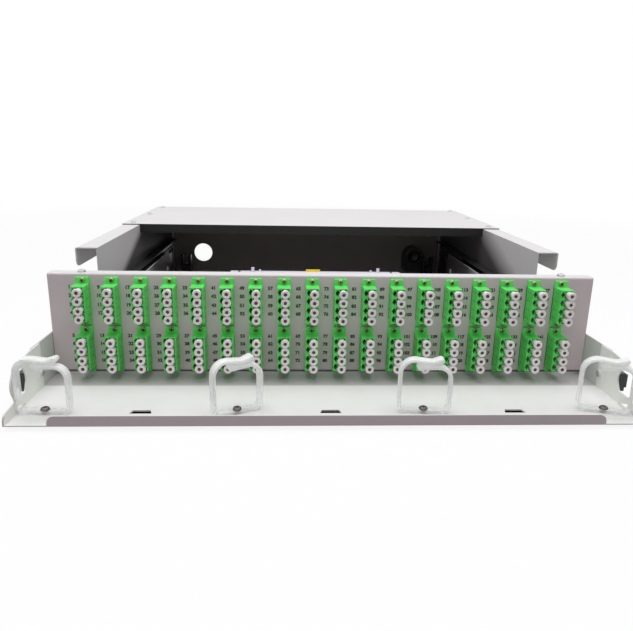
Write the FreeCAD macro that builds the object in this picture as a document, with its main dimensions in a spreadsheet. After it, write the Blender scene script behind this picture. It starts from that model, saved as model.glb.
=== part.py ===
import FreeCAD, Part
import math
import os
import re
import Sketcher

# Fibre optic patch panel, two rack units high, with its drawer pulled part of the way out.
# Row frame: X to the right, Y to the back, Z up, origin at the middle of the case's base.
# Case pieces are drawn with Y = 0 at the case's front edge. Drawer pieces are drawn with Y = 0 at
# the adapter panel's face and Z = 0 on top of the front shelf. Each piece's Placement moves it home.

os.makedirs("parts", exist_ok=True)
doc = FreeCAD.newDocument("patch_panel")
sheet = doc.addObject("Spreadsheet::Sheet", "Sizes")
size_names = []
derived_sizes = {}


def size(name, value):
    """Write one driving size on the sheet's next row, in millimetres, degrees or a count."""
    row = len(size_names) + 1
    sheet.set("A%d" % row, name)
    sheet.set("B%d" % row, str(value))
    sheet.setAlias("B%d" % row, name)
    size_names.append(name)


def derive(name, text):
    """Name a size that follows from others, by its formula."""
    derived_sizes[name] = "(" + text + ")"


# Sheet metal and overall width
size("overall_width", 406)
size("gauge", 1.0)
size("bend_radius", 1.5)

# Case
size("case_depth", 336.4)
size("case_height", 87.3)
size("flange_width", 18.1)
size("sheet_fit", 0.1)
size("hem_gap", 0.5)
size("cover_screw_inset", 9)
size("cover_screw_end", 12)
size("rear_screw_low", 20)
size("rear_screw_drop", 22)
size("lip_drop", 16)
size("lip_corner", 6)
size("cover_start", 149.4)
size("hem_drop", 8)
size("rear_flange", 10)
size("entry_radius", 12.25)
size("entry_inset", 40.9)
size("entry_height", 26.5)
size("ear_hole_radius", 2.1)
size("ear_hole_back", 11)
size("ear_hole_low", 25)
size("ear_hole_spacing", 31.8)

# Cable inlet at the right-hand entry, and the strain relief behind the drawer
size("inlet_inset", 37.9)
size("inlet_width", 27)
size("inlet_drop", 20)
size("inlet_depth", 16)
size("inlet_bore", 9)
size("inlet_fit", 0.05)
size("nut_radius", 16)
size("nut_thickness", 5)
size("anchor_inset", 20.4)
size("anchor_back", 26.5)
size("anchor_width", 14)
size("anchor_height", 26)
size("anchor_thickness", 8)
size("post_inset", 25.9)
size("post_foot", 1.5)
size("post_rim", 1)
size("post_rim_height", 2)
size("post_back", 31)
size("post_radius", 1.7)
size("post_height", 21)

# Where the drawer stands
size("drawer_out", 66.6)
size("floor_gap", 0.5)
size("closed_gap", 0.3)

# Telescopic slides
size("slide_space", 12.7)
size("slide_start", 22)
size("slide_length", 290)
size("slide_screw_end", 40)
size("slide_base", 4.5)
size("slide_height", 45)
size("slide_gauge", 1.2)
size("middle_gauge", 1.0)
size("slide_lip", 10)
size("middle_lip", 8)
size("inner_lip", 7)
size("web_gap", 1.3)
size("ball_gap", 3.4)
size("ball_radius", 1.5)
size("ball_pitch", 11)
size("ball_count", 8)
size("cage_width", 5)
size("cage_gauge", 0.8)
size("cage_inset", 5)
size("cage_hole_gap", 0.02)

# Drawer tray
size("tray_depth", 300)
size("tray_wall", 44)
size("tray_wall_start", 22)
size("tray_rear_lip", 15)
size("wing_height", 31.7)
size("wing_front", 38)
size("wing_back", 9.5)

# Adapter panel and its brackets
size("panel_end_gap", 1.5)
size("panel_top", 76.3)
size("panel_bottom", 1.0)
size("panel_flange", 10)
size("bracket_inset", 17)
size("bracket_tab", 30)
size("bracket_screw_inset", 23)

# Adapters
size("column_count", 18)
size("column_pitch", 20.75)
size("row_pitch", 36.8)
size("lower_row_height", 19.55)
size("adapter_width", 9.5)
size("adapter_body", 25.8)
size("adapter_front", 13.5)
size("adapter_back", 12)
size("adapter_fit", 0.1)
size("adapter_side_step", 0.1)
size("adapter_end_step", 0.2)
size("ear_height", 36)
size("ear_thickness", 2)
size("ear_corner", 1.2)
size("screw_reach", 15.45)
size("port_near", 3.45)
size("port_step", 6.25)
size("port_shift", 1.0)
size("port_side", 5.2)
size("port_web", 4)
size("keyway_shift", 2.9)
size("keyway_width", 2.2)
size("keyway_height", 3.4)
size("keyway_bar", 1.2)
size("keyway_depth", 6)

# Ceramic sleeves and dust caps
size("sleeve_radius", 0.82)
size("sleeve_bore", 0.625)
size("sleeve_length", 6.8)
size("sleeve_fit", 0.03)
size("cap_radius", 3.0)
size("cap_neck", 2.5)
size("cap_rim", 1.6)
size("cap_mouth", 0.7)
size("cap_mouth_drop", 0.2)
size("cap_lip", 0.3)
size("cap_lip_drop", 0.4)
size("cap_head", 5.6)
size("cap_stem_radius", 2.3)
size("cap_stem", 9)
size("cap_bore", 1.2)
size("cap_bore_depth", 9)
size("cap_gap", 0.9)

# Fasteners
size("small_head_radius", 1.9)
size("small_head_height", 1.0)
size("small_shank", 1.0)
size("small_nut", 2.3)
size("small_nut_height", 1.6)
size("pan_head_radius", 2.9)
size("pan_head_height", 1.8)
size("pan_shank", 1.45)
size("pan_length", 3.2)
size("shank_fit", 0.05)
size("recess_width", 0.6)
size("recess_share", 0.62)
size("recess_depth_share", 0.6)
size("head_flat_share", 0.3)
size("head_rim_share", 0.35)
size("head_crown_reach", 0.78)
size("head_crown_rise", 0.86)

# Front shelf
size("shelf_front", 90.3)
size("shelf_back", 25.8)
size("shelf_lip", 6.3)
size("shelf_lip_trim", 1.5)
size("shelf_lip_length", 351)
size("side_flange", 7.5)
size("side_flange_slope", 1.2)
size("side_flange_trim", 2.5)
size("side_flange_back", 69)
size("cheek_nose", 77)
size("grip_back", 52.5)
size("grip_shoulder", 3.5)
size("grip_bulge", 1.2)
size("grip_taper", 3)
size("grip_back_bend", 3)
size("grip_bulge_bend", 7)
size("grip_corner_bend", 4)
size("grip_front_bend", 6)
size("cheek_slope", 33)
size("cheek_slope_bend", 14)
size("cheek_brow", 8)
size("cheek_brow_rise", 3.4)
size("cheek_nose_rise", 2)
size("cheek_nose_bend", 9)
size("cheek_chin", 7)
size("cheek_chin_drop", 3.6)
size("cheek_chin_bend", 6)
size("cheek_throat", 19)
size("cheek_throat_bend", 8)
size("cheek_foot", 24)
size("grip_front", 72)
size("grip_low", 8)
size("grip_high", 25.3)
size("tab_slot_front", 14.5)
size("tab_slot_back", 11.5)
size("tab_slot_depth", 5)
size("tab_slot_corner", 0.4)
size("tab_slot_place", 68)
size("tab_slot_spacing", 123)
size("shelf_screw_back", 28.5)
size("shelf_screw_height", 10.6)

# Cable rings
size("ring_line", 72)
size("ring_inner_place", 61)
size("ring_side_gap", 20.2)
size("ring_width", 35)
size("ring_height", 39)
size("ring_strip", 2.4)
size("ring_depth", 7)
size("ring_corner", 9)
size("ring_foot_corner", 5)
size("ring_arm_step", 5.4)
size("ring_tip", 1.8)
size("ring_screw_end", 0.3)
size("ring_tip_share", 0.56)
size("ring_tip_drop", 1.2)
size("ring_dip_share", 0.24)
size("ring_dip", 2.2)
size("ring_dip_bend", 6)
size("ring_lower_share", 0.26)
size("ring_lower_drop", 0.5)
size("ring_lower_corner", 8)
size("ring_turn_1", -3)
size("ring_turn_2", 28)
size("ring_turn_3", -5)
size("ring_turn_4", -18)

# Splice trays
size("splice_width", 158)
size("splice_depth", 105)
size("splice_shift", 1.5)
size("splice_start", 90)
size("splice_count", 4)
size("splice_height", 8.75)
size("splice_gap", 0.3)
size("splice_wall", 1.2)
size("splice_stand_rise", 3)
size("splice_lid_gauge", 1.5)
size("splice_post", 1.7)
size("splice_post_fit", 0.1)
size("splice_post_place", 66)
size("splice_post_inset", 3.5)
size("splice_post_rise", 4.2)
size("splice_knob", 1.2)
size("splice_knob_rise", 2)
size("splice_knob_place", 58.5)
size("splice_ear_width", 8)
size("splice_ear_depth", 10)
size("splice_ear_gap", 2.2)
size("splice_tag_width", 15)
size("splice_tag_shift", 2.7)
size("splice_tag_rise", 1.9)

# Side latches
size("latch_place", 52)
size("latch_length", 13)
size("latch_low", 6.5)
size("latch_height", 13)
size("latch_case_depth", 5)
size("latch_floor", 0.8)
size("latch_wall", 1.8)
size("latch_reach", 8)
size("bolt_step", 0.6)
size("bolt_corner", 0.8)
size("bolt_nose_bend", 1.5)
size("bolt_flat_share", 0.4)
size("latch_travel", 2.2)
size("latch_fit", 0.1)
size("spring_gauge", 0.3)
size("spring_span", 3)
size("spring_depth", 3)
size("spring_bend", 1.2)
size("spring_pocket", 2.4)
size("spring_pocket_radius", 2.7)
size("spring_end_gap", 0.02)

# Sizes that follow from the overall width
derive("case_inner", "overall_width - 2 * flange_width")
derive("panel_width", "overall_width - 2 * panel_end_gap")
derive("ring_outer_place", "overall_width / 2 - ring_side_gap")
derive("entry_place", "case_inner / 2 - entry_inset")
derive("inlet_place", "case_inner / 2 - inlet_inset")
derive("anchor_place", "case_inner / 2 - anchor_inset")
derive("post_place", "case_inner / 2 - post_inset")

doc.recompute()

WORD = re.compile(r"[a-z][a-z_0-9]*")
RISE = "(3 * gauge + floor_gap)"
CASE_Y = "(-case_depth / 2)"
DRAWER_Y = "(-case_depth / 2 - drawer_out)"
CLOSED_TRAVEL = "(drawer_out - panel_flange - closed_gap)"
CASE_WALL = "(case_inner / 2 + gauge)"
TRAY_HALF = "(case_inner / 2 - slide_space)"
CHEEK_OUTER = "(overall_width / 2 - gauge)"
SLIDE_LOW = "(slide_base - %s)" % RISE
INNER_START = "(slide_start + panel_flange + closed_gap)"
UPPER_ROW = "(lower_row_height + row_pitch)"


def driving(text):
    """Write a formula in driving sizes alone."""
    if not any(word in derived_sizes for word in WORD.findall(text)):
        return text
    return driving(WORD.sub(lambda word: derived_sizes.get(word.group(), word.group()), text))


def cells(text, written):
    """Replace each driving size in a formula by what is written for it."""
    return WORD.sub(lambda word: written(word.group()) if word.group() in size_names else word.group(),
                    driving(text))


def formula(text):
    """Point the size names in a formula at the sheet."""
    return cells(text, lambda name: "Sizes." + name)


def number(text):
    """Work a formula out as a plain number."""
    return FreeCAD.Units.Quantity(cells(text, lambda name: "(%r)" % sheet.get(name))).Value


def vector(place_x, place_y, place_z):
    """A point from three formulas."""
    return FreeCAD.Vector(number(place_x), number(place_y), number(place_z))


def bind(feature, **formulas):
    """Bind properties of a feature to formulas, with x, y and z for its place."""
    for name, text in formulas.items():
        target = "Placement.Base." + name if name in ("x", "y", "z") else name
        feature.setExpression(target, formula(text))
    return feature


def box(name, length, width, height, x, y, z):
    """A block from its three sides and its lowest corner."""
    block = doc.addObject("Part::Box", name)
    return bind(block, Length=length, Width=width, Height=height, x=x, y=y, z=z)


AXES = {"X": FreeCAD.Vector(1, 0, 0), "Y": FreeCAD.Vector(0, 1, 0), "Z": FreeCAD.Vector(0, 0, 1)}


def rod(name, radius, height, axis, x, y, z):
    """A cylinder from the middle of its first end, along a row axis."""
    cylinder = doc.addObject("Part::Cylinder", name)
    cylinder.Placement.Rotation = FreeCAD.Rotation(AXES["Z"], AXES[axis])
    return bind(cylinder, Radius=radius, Height=height, x=x, y=y, z=z)


def fuse(name, *solids):
    """Several solids joined into one."""
    joined = doc.addObject("Part::MultiFuse", name)
    joined.Shapes = list(solids)
    joined.Refine = True
    return joined


def cut(name, base, *tools):
    """A solid with one or more others taken out of it."""
    result = doc.addObject("Part::Cut", name)
    result.Base = base
    result.Tool = tools[0] if len(tools) == 1 else fuse(name + "_tools", *tools)
    return result


def mirrored(name, source):
    """The left-hand copy of a right-hand solid."""
    copy = doc.addObject("Part::Mirroring", name)
    copy.Source = source
    copy.Normal = AXES["X"]
    return copy


def rounded(name, base, radius, wanted):
    """A solid with a radius on the straight edges that a test picks by their middle and direction."""
    doc.recompute()
    picked = []
    for index, edge in enumerate(base.Shape.Edges):
        along = edge.tangentAt(edge.FirstParameter)
        if wanted(edge.CenterOfMass, along):
            picked.append((index + 1, number(radius), number(radius)))
    fillet = doc.addObject("Part::Fillet", name)
    fillet.Base = base
    fillet.Edges = picked
    return fillet


def near(value, text):
    """Whether a coordinate is the one that a formula gives."""
    return abs(value - number(text)) < 1e-4


def plane_of(body, role):
    """One of a body's own origin planes."""
    return [plane for plane in body.Origin.OriginFeatures if plane.Role == role][0]


def outline(body, name, role, corners):
    """A closed sketch of straight lines whose corners are bound to formulas."""
    sketch = body.newObject("Sketcher::SketchObject", name)
    sketch.AttachmentSupport = (plane_of(body, role), [""])
    sketch.MapMode = "FlatFace"
    spots = [FreeCAD.Vector(number(across), number(up), 0) for across, up in corners]
    count = len(spots)
    for index in range(count):
        sketch.addGeometry(Part.LineSegment(spots[index], spots[(index + 1) % count]), False)
    for index in range(count):
        sketch.addConstraint(Sketcher.Constraint("Coincident", index, 2, (index + 1) % count, 1))
    for index, (across, up) in enumerate(corners):
        for kind, text, axis in (("DistanceX", across, -2), ("DistanceY", up, -1)):
            if text == "0":
                sketch.addConstraint(Sketcher.Constraint("PointOnObject", index, 1, axis))
            else:
                rule = Sketcher.Constraint(kind, -1, 1, index, 1, number(text))
                place = sketch.addConstraint(rule)
                sketch.setExpression("Constraints[%d]" % place, formula(text))
    return sketch


def padded(name, role, corners, length, reverse=False):
    """A body made by padding one outline."""
    body = doc.addObject("PartDesign::Body", name)
    sketch = outline(body, name + "_outline", role, corners)
    pad = body.newObject("PartDesign::Pad", name + "_pad")
    pad.Profile = sketch
    pad.Reversed = reverse
    pad.setExpression("Length", formula(length))
    body.Tip = pad
    return body


def revolved(name, corners):
    """A body turned about its own Z axis from a half outline in the XZ plane."""
    body = doc.addObject("PartDesign::Body", name)
    sketch = outline(body, name + "_outline", "XZ_Plane", corners)
    turn = body.newObject("PartDesign::Revolution", name + "_turn")
    turn.Profile = sketch
    turn.ReferenceAxis = (sketch, ["V_Axis"])
    turn.Angle = 360
    body.Tip = turn
    return body


def soft_wire(corners, closed):
    """Straight runs through (point, radius) corners, with a tangent arc at each corner that has one."""
    count = len(corners)
    ends = []
    for index, (point, radius) in enumerate(corners):
        if radius == 0 or (not closed and index in (0, count - 1)):
            ends.append((point, point, None))
            continue
        back = (corners[index - 1][0] - point).normalize()
        ahead = (corners[(index + 1) % count][0] - point).normalize()
        half = back.getAngle(ahead) / 2
        setback = radius / math.tan(half)
        middle = (back + ahead).normalize()
        crown = point + middle * (radius / math.sin(half) - radius)
        ends.append((point + back * setback, point + ahead * setback, crown))
    edges = []
    for index, (start, finish, crown) in enumerate(ends):
        if crown is not None:
            edges.append(Part.Arc(start, crown, finish).toShape())
        last = index == count - 1
        if last and not closed:
            continue
        following = ends[(index + 1) % count][0]
        if (following - finish).Length > 1e-6:
            edges.append(Part.LineSegment(finish, following).toShape())
    return Part.Wire(edges)


def plate(corners, push):
    """A flat plate from a closed outline of (point, radius) corners, pushed along a vector."""
    return Part.Face(soft_wire(corners, True)).extrude(push)


def made(name, shape):
    """A feature that holds a shape worked out here."""
    feature = doc.addObject("Part::Feature", name)
    feature.Shape = shape
    return feature


nodes = []


def node(name, feature, y="0", z="0"):
    """Name a finished sub-part and move it to its place in the row frame."""
    part = doc.addObject("Part::Compound", name)
    part.Links = [feature]
    part.Label = name
    part.setExpression("Placement.Base.y", formula(y))
    part.setExpression("Placement.Base.z", formula(z))
    nodes.append((name, part))


def case_node(name, feature):
    """A finished sub-part of the case."""
    node(name, feature, y=CASE_Y)


def drawer_node(name, feature):
    """A finished sub-part of the drawer."""
    node(name, feature, y=DRAWER_Y, z=RISE)


# Fastener patterns

def screw_shape(head_radius, head_height, shank, length):
    """A cross-recessed screw: head above z = 0, shank below it."""
    top = number(head_height)
    reach = number(head_radius)
    flat = FreeCAD.Vector(reach * number("head_flat_share"), 0, top)
    rim = FreeCAD.Vector(reach, 0, top * number("head_rim_share"))
    crown = FreeCAD.Vector(reach * number("head_crown_reach"), 0, top * number("head_crown_rise"))
    dome = Part.Arc(rim, crown, flat)
    corners = [flat, FreeCAD.Vector(0, 0, top)]
    corners.append(FreeCAD.Vector(0, 0, -number(length)))
    corners.append(FreeCAD.Vector(number(shank), 0, -number(length)))
    corners.append(FreeCAD.Vector(number(shank), 0, 0))
    corners.append(FreeCAD.Vector(reach, 0, 0))
    corners.append(rim)
    edges = [dome.toShape()]
    for first, second in zip(corners, corners[1:]):
        edges.append(Part.LineSegment(first, second).toShape())
    body = Part.Face(Part.Wire(edges)).revolve(FreeCAD.Vector(0, 0, 0), AXES["Z"], 360)
    slot = number("recess_width")
    span = number("recess_share") * reach * 2
    depth = top * number("recess_depth_share")
    for long_side, short_side in ((span, slot), (slot, span)):
        corner = FreeCAD.Vector(-long_side / 2, -short_side / 2, top - depth)
        body = body.cut(Part.makeBox(long_side, short_side, depth + 1, corner))
    return body


def group(name, shape, places):
    """Copies of one solid at (point, direction) places, kept as separate solids of one sub-part."""
    copies = []
    for point, direction in places:
        copy = shape.copy()
        copy.Placement = FreeCAD.Placement(point, FreeCAD.Rotation(AXES["Z"], direction))
        copies.append(copy)
    return made(name, Part.Compound(copies))


pan_screw = screw_shape("pan_head_radius", "pan_head_height", "pan_shank", "pan_length")
UP = AXES["Z"]
RIGHT = AXES["X"]
LEFT = AXES["X"] * -1
FORWARD = AXES["Y"] * -1
BACKWARD = AXES["Y"]


# Case: one folded sheet with outward flanges and short lips

cover_screw_x = "(overall_width / 2 - cover_screw_inset)"
cover_screw_ys = ["(cover_start + cover_screw_end)", "((cover_start + case_depth) / 2)",
                  "(case_depth - cover_screw_end)"]
rear_screw_zs = ["rear_screw_low", "(case_height - rear_screw_drop)"]
slide_screw_offsets = ["slide_screw_end", "(slide_length / 2)", "(slide_length - slide_screw_end)"]
rear_screw_y = "(case_depth - rear_flange / 2)"
slide_middle_z = "(slide_base + slide_height / 2)"

case_half = [
    ("0", "0"),
    (CASE_WALL, "0"),
    (CASE_WALL, "case_height - gauge"),
    ("overall_width / 2 - gauge", "case_height - gauge"),
    ("overall_width / 2 - gauge", "case_height - lip_drop"),
    ("overall_width / 2", "case_height - lip_drop"),
    ("overall_width / 2", "case_height"),
    ("case_inner / 2", "case_height"),
    ("case_inner / 2", "gauge"),
    ("0", "gauge"),
]


def case_holes():
    """Clearance holes for every fastener that passes through the folded case."""
    holes = []
    for side, sign in (("right", ""), ("left", "-")):
        for index, y in enumerate(cover_screw_ys):
            holes.append(rod("flange_hole_%s_%d" % (side, index), "pan_shank + shank_fit", "2 * gauge", "Z",
                             sign + cover_screw_x, y, "case_height - 1.5 * gauge"))
        start = "case_inner / 2 - 1" if side == "right" else "-%s - 1" % CASE_WALL
        wall_places = []
        for z in rear_screw_zs:
            wall_places.append((rear_screw_y, z, "pan_shank + shank_fit"))
        for offset in slide_screw_offsets:
            wall_places.append(("slide_start + " + offset, slide_middle_z, "pan_shank + shank_fit"))
        for z in ("ear_hole_low", "ear_hole_low + ear_hole_spacing"):
            wall_places.append(("ear_hole_back", z, "ear_hole_radius"))
        for index, (y, z, radius) in enumerate(wall_places):
            holes.append(rod("wall_hole_%s_%d" % (side, index), radius, "gauge + 2", "X", start, y, z))
    return holes


case_right = padded("case_half", "XZ_Plane", case_half, "case_depth", reverse=True)
case_both = fuse("case_both", case_right, mirrored("case_other_half", case_right))
case_lips = rounded("case_lips", case_both, "lip_corner",
                    lambda middle, along: abs(along.x) > 0.99 and near(middle.y, "0")
                    and near(middle.z, "case_height - lip_drop"))
case_bends = rounded("case_bends", case_lips, "bend_radius",
                     lambda middle, along: abs(along.y) > 0.99
                     and (near(abs(middle.x), CASE_WALL) and near(middle.z, "0")
                          or near(abs(middle.x), "overall_width / 2") and near(middle.z, "case_height")))
case_node("chassis_shell", cut("chassis_cut", case_bends, *case_holes()))


# Rear wall, with flanges turned forward at its sides and top

entry_right = rod("entry_right", "entry_radius", "3 * gauge", "Y", "inlet_place", "case_depth - 2 * gauge",
                  "entry_height")
entry_left = rod("entry_left", "entry_radius", "3 * gauge", "Y", "-entry_place", "case_depth - 2 * gauge",
                 "entry_height")
wall_sheet = box("wall_sheet", "case_inner - 2 * sheet_fit", "gauge", "case_height - gauge",
                 "-case_inner / 2 + sheet_fit", "case_depth - gauge", "gauge")
wall_top = box("wall_top", "case_inner - 4 * gauge", "rear_flange", "gauge", "-case_inner / 2 + 2 * gauge",
               "case_depth - rear_flange", "case_height - gauge")
wall_side = box("wall_side", "gauge", "rear_flange", "case_height - 3 * gauge",
                "case_inner / 2 - sheet_fit - gauge", "case_depth - rear_flange", "gauge")
rear_holes = [entry_right, entry_left]
for side, sign, start in (("right", "", "case_inner / 2 - 3"), ("left", "-", "-case_inner / 2 - 1")):
    for index, z in enumerate(rear_screw_zs):
        rear_holes.append(rod("rear_hole_%s_%d" % (side, index), "pan_shank + shank_fit", "4", "X", start,
                              rear_screw_y, z))
rear_joined = fuse("rear_joined", wall_sheet, wall_top, wall_side, mirrored("wall_other_side", wall_side))
case_node("rear_wall", cut("rear_cut", rear_joined, *rear_holes))


# Top cover over the back of the case, with a short hem between the walls

cover_sheet = box("cover_sheet", "overall_width", "case_depth - cover_start", "gauge", "-overall_width / 2",
                  "cover_start", "case_height")
cover_hem = box("cover_hem", "case_inner - 2 * hem_gap", "gauge", "hem_drop", "-case_inner / 2 + hem_gap",
                "cover_start", "case_height - hem_drop")
cover_holes = []
for side, sign in (("right", ""), ("left", "-")):
    for index, y in enumerate(cover_screw_ys):
        cover_holes.append(rod("cover_hole_%s_%d" % (side, index), "pan_shank + shank_fit", "2 * gauge", "Z",
                               sign + cover_screw_x, y, "case_height - 0.5 * gauge"))
case_node("top_cover", cut("cover_cut", fuse("cover_joined", cover_sheet, cover_hem), *cover_holes))


# Case screws: cover, rear wall and slide screws

case_screw_places = []
for sign, outward in (("", RIGHT), ("-", LEFT)):
    for y in cover_screw_ys:
        case_screw_places.append((vector(sign + cover_screw_x, y, "case_height + gauge"), UP))
    for z in rear_screw_zs:
        case_screw_places.append((vector(sign + CASE_WALL, rear_screw_y, z), outward))
    for offset in slide_screw_offsets:
        place = vector(sign + CASE_WALL, "slide_start + " + offset, slide_middle_z)
        case_screw_places.append((place, outward))
case_node("case_screws", group("case_screw_group", pan_screw, case_screw_places))


# Cable inlet in the right-hand entry, with its nut outside the wall

inlet_start = "case_depth - gauge - inlet_depth"
inlet_block = box("inlet_block", "inlet_width", "inlet_depth", "inlet_drop", "inlet_place - inlet_width / 2",
                  inlet_start, "entry_height - inlet_drop")
inlet_dome = rod("inlet_dome", "inlet_width / 2", "inlet_depth", "Y", "inlet_place", inlet_start,
                 "entry_height")
inlet_neck = rod("inlet_neck", "entry_radius - inlet_fit", "inlet_depth + gauge + nut_thickness + 1", "Y",
                 "inlet_place", inlet_start, "entry_height")
inlet_hole = rod("inlet_hole", "inlet_bore", "inlet_depth + gauge + nut_thickness + 4", "Y", "inlet_place",
                 "case_depth - gauge - inlet_depth - 1", "entry_height")
inlet_body = cut("inlet_body", fuse("inlet_solid", inlet_block, inlet_dome, inlet_neck), inlet_hole)
nut_blank = doc.addObject("Part::Prism", "nut_blank")
nut_blank.Polygon = 6
nut_blank.Placement.Rotation = FreeCAD.Rotation(AXES["Z"], AXES["Y"])
bind(nut_blank, Circumradius="nut_radius", Height="nut_thickness", x="inlet_place", y="case_depth",
     z="entry_height")
nut_hole = rod("nut_hole", "entry_radius", "nut_thickness + 2", "Y", "inlet_place", "case_depth - 1",
               "entry_height")
inlet_nut = cut("inlet_nut", nut_blank, nut_hole)
doc.recompute()
inlet_pair = doc.addObject("Part::Compound", "inlet_pair")
inlet_pair.Links = [inlet_body, inlet_nut]
case_node("cable_inlet", inlet_pair)


# Strain relief: a saddle anchor behind each rear corner of the drawer, and a tie post beside the inlet

anchor_block = box("anchor_block", "anchor_width", "anchor_thickness", "anchor_height",
                   "anchor_place - anchor_width / 2", "case_depth - anchor_back", "gauge")
anchor_slot = box("anchor_slot", "anchor_width / 2", "anchor_thickness + 2", "anchor_height / 2",
                  "anchor_place - anchor_width / 4", "case_depth - anchor_back - 1",
                  "gauge + anchor_height / 2")
anchor_right = cut("anchor_right", anchor_block, anchor_slot)
tie_post = revolved("tie_post", [
    ("0", "0"),
    ("post_radius + post_foot", "0"),
    ("post_radius + post_foot", "post_rim_height"),
    ("post_radius", "post_rim_height"),
    ("post_radius", "post_height - post_rim_height"),
    ("post_radius + post_rim", "post_height - post_rim_height"),
    ("post_radius + post_rim", "post_height"),
    ("0", "post_height"),
])
bind(tie_post, x="post_place", y="case_depth - post_back", z="gauge")
anchor_set = doc.addObject("Part::Compound", "anchor_set")
anchor_set.Links = [anchor_right, mirrored("anchor_left", anchor_right), tie_post]
case_node("cable_anchors", anchor_set)


# Telescopic slides, drawn on the right and mirrored: outer and middle members with the case

def channel(name, web_x, web_gauge, lip_gauge, reach, low, high, start, opens):
    """A rolled channel: an upright web and two lips that reach from it to the left or to the right."""
    web = box(name + "_web", web_gauge, "slide_length", "%s - (%s)" % (high, low), web_x, start, low)
    lip_x = "%s - (%s)" % (web_x, reach) if opens == "left" else "%s + %s" % (web_x, web_gauge)
    low_lip = box(name + "_low_lip", reach, "slide_length", lip_gauge, lip_x, start, low)
    high_lip = box(name + "_high_lip", reach, "slide_length", lip_gauge, lip_x, start,
                   "%s - (%s)" % (high, lip_gauge))
    return fuse(name + "_channel", web, low_lip, high_lip)


SLIDE_TOP = "(slide_base + slide_height)"
MIDDLE_IN = "(slide_gauge + ball_gap)"
INNER_IN = "(slide_gauge + 2 * ball_gap + middle_gauge)"
OUTER_WEB = "(case_inner / 2 - slide_gauge)"
MIDDLE_WEB = "(case_inner / 2 - slide_gauge - web_gap - middle_gauge)"
MIDDLE_START = "(slide_start - %s / 2)" % CLOSED_TRAVEL

outer_channel = channel("outer", OUTER_WEB, "slide_gauge", "slide_gauge", "(slide_lip - slide_gauge)",
                        "slide_base", SLIDE_TOP, "slide_start", "left")
outer_holes = []
for index, offset in enumerate(slide_screw_offsets):
    outer_holes.append(rod("outer_hole_%d" % index, "pan_shank + shank_fit", "slide_gauge + 2", "X",
                           OUTER_WEB + " - 1", "slide_start + " + offset, slide_middle_z))
outer_right = cut("outer_right", outer_channel, *outer_holes)
case_node("slide_outer_right", outer_right)
case_node("slide_outer_left", mirrored("outer_left", outer_right))

middle_right = channel("middle", MIDDLE_WEB, "middle_gauge", "middle_gauge", "(middle_lip - middle_gauge)",
                       "(slide_base + %s)" % MIDDLE_IN, "(%s - %s)" % (SLIDE_TOP, MIDDLE_IN), MIDDLE_START,
                       "left")
case_node("slide_middle_right", middle_right)
case_node("slide_middle_left", mirrored("middle_left", middle_right))


def cage(name, start, height):
    """One ball cage: a flat strip with its row of balls."""
    count = int(number("ball_count"))
    length = number("ball_pitch") * count
    left = number("case_inner / 2 - slide_lip + cage_gauge")
    level = number(height)
    first = number(start)
    corner = FreeCAD.Vector(left, first, level - number("cage_gauge") / 2)
    strip = Part.makeBox(number("cage_width"), length, number("cage_gauge"), corner)
    balls = []
    for index in range(count):
        along = first + number("ball_pitch") * (index + 0.5)
        middle = FreeCAD.Vector(left + number("cage_width") / 2, along, level)
        through = AXES["Z"] * number("2 * cage_gauge")
        radius = number("ball_radius + cage_hole_gap")
        hole = Part.makeCylinder(radius, 2 * through.z, middle - through, AXES["Z"])
        strip = strip.cut(hole)
        balls.append(Part.makeSphere(number("ball_radius"), middle))
    return [strip] + balls


cage_span = "(ball_count * ball_pitch)"
rear_cage_start = "%s + slide_length - cage_inset - %s" % (MIDDLE_START, cage_span)
front_cage_start = "%s + cage_inset" % MIDDLE_START
outer_ball_rise = "(slide_gauge + ball_gap / 2)"
inner_ball_rise = "(slide_gauge + ball_gap + middle_gauge + ball_gap / 2)"
cage_solids = []
cage_solids += cage("outer_low", rear_cage_start, "slide_base + " + outer_ball_rise)
cage_solids += cage("outer_high", rear_cage_start, "%s - %s" % (SLIDE_TOP, outer_ball_rise))
cage_solids += cage("inner_low", front_cage_start, "slide_base + " + inner_ball_rise)
cage_solids += cage("inner_high", front_cage_start, "%s - %s" % (SLIDE_TOP, inner_ball_rise))
cages_right = made("cages_right", Part.Compound(cage_solids))
case_node("slide_cages_right", cages_right)
cages_mirrored = cages_right.Shape.mirror(FreeCAD.Vector(0, 0, 0), AXES["X"])
case_node("slide_cages_left", made("cages_left", cages_mirrored))


# Inner slide members, on the drawer

inner_channel = channel("inner", TRAY_HALF, "slide_gauge", "slide_gauge", "(inner_lip - slide_gauge)",
                        "(%s + %s)" % (SLIDE_LOW, INNER_IN),
                        "(%s + slide_height - %s)" % (SLIDE_LOW, INNER_IN), INNER_START, "right")
inner_middle_z = "(%s + slide_height / 2)" % SLIDE_LOW
inner_holes = []
for index, offset in enumerate(slide_screw_offsets):
    inner_holes.append(rod("inner_hole_%d" % index, "pan_shank + shank_fit", "slide_gauge + 2", "X",
                           TRAY_HALF + " - 1", "%s + %s" % (INNER_START, offset), inner_middle_z))
inner_right = cut("inner_right", inner_channel, *inner_holes)
drawer_node("slide_inner_right", inner_right)
drawer_node("slide_inner_left", mirrored("inner_left", inner_right))


# Drawer tray: a wide front part with a wing at each side, and a narrower bin that runs into the case

TRAY_LOW = "(-2 * gauge)"
shelf_screw_y = "(-shelf_screw_back)"
bracket_screw_zs = ["9", "24"]
wing_screw_y = "(gauge + (panel_flange - gauge) / 2)"

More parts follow.
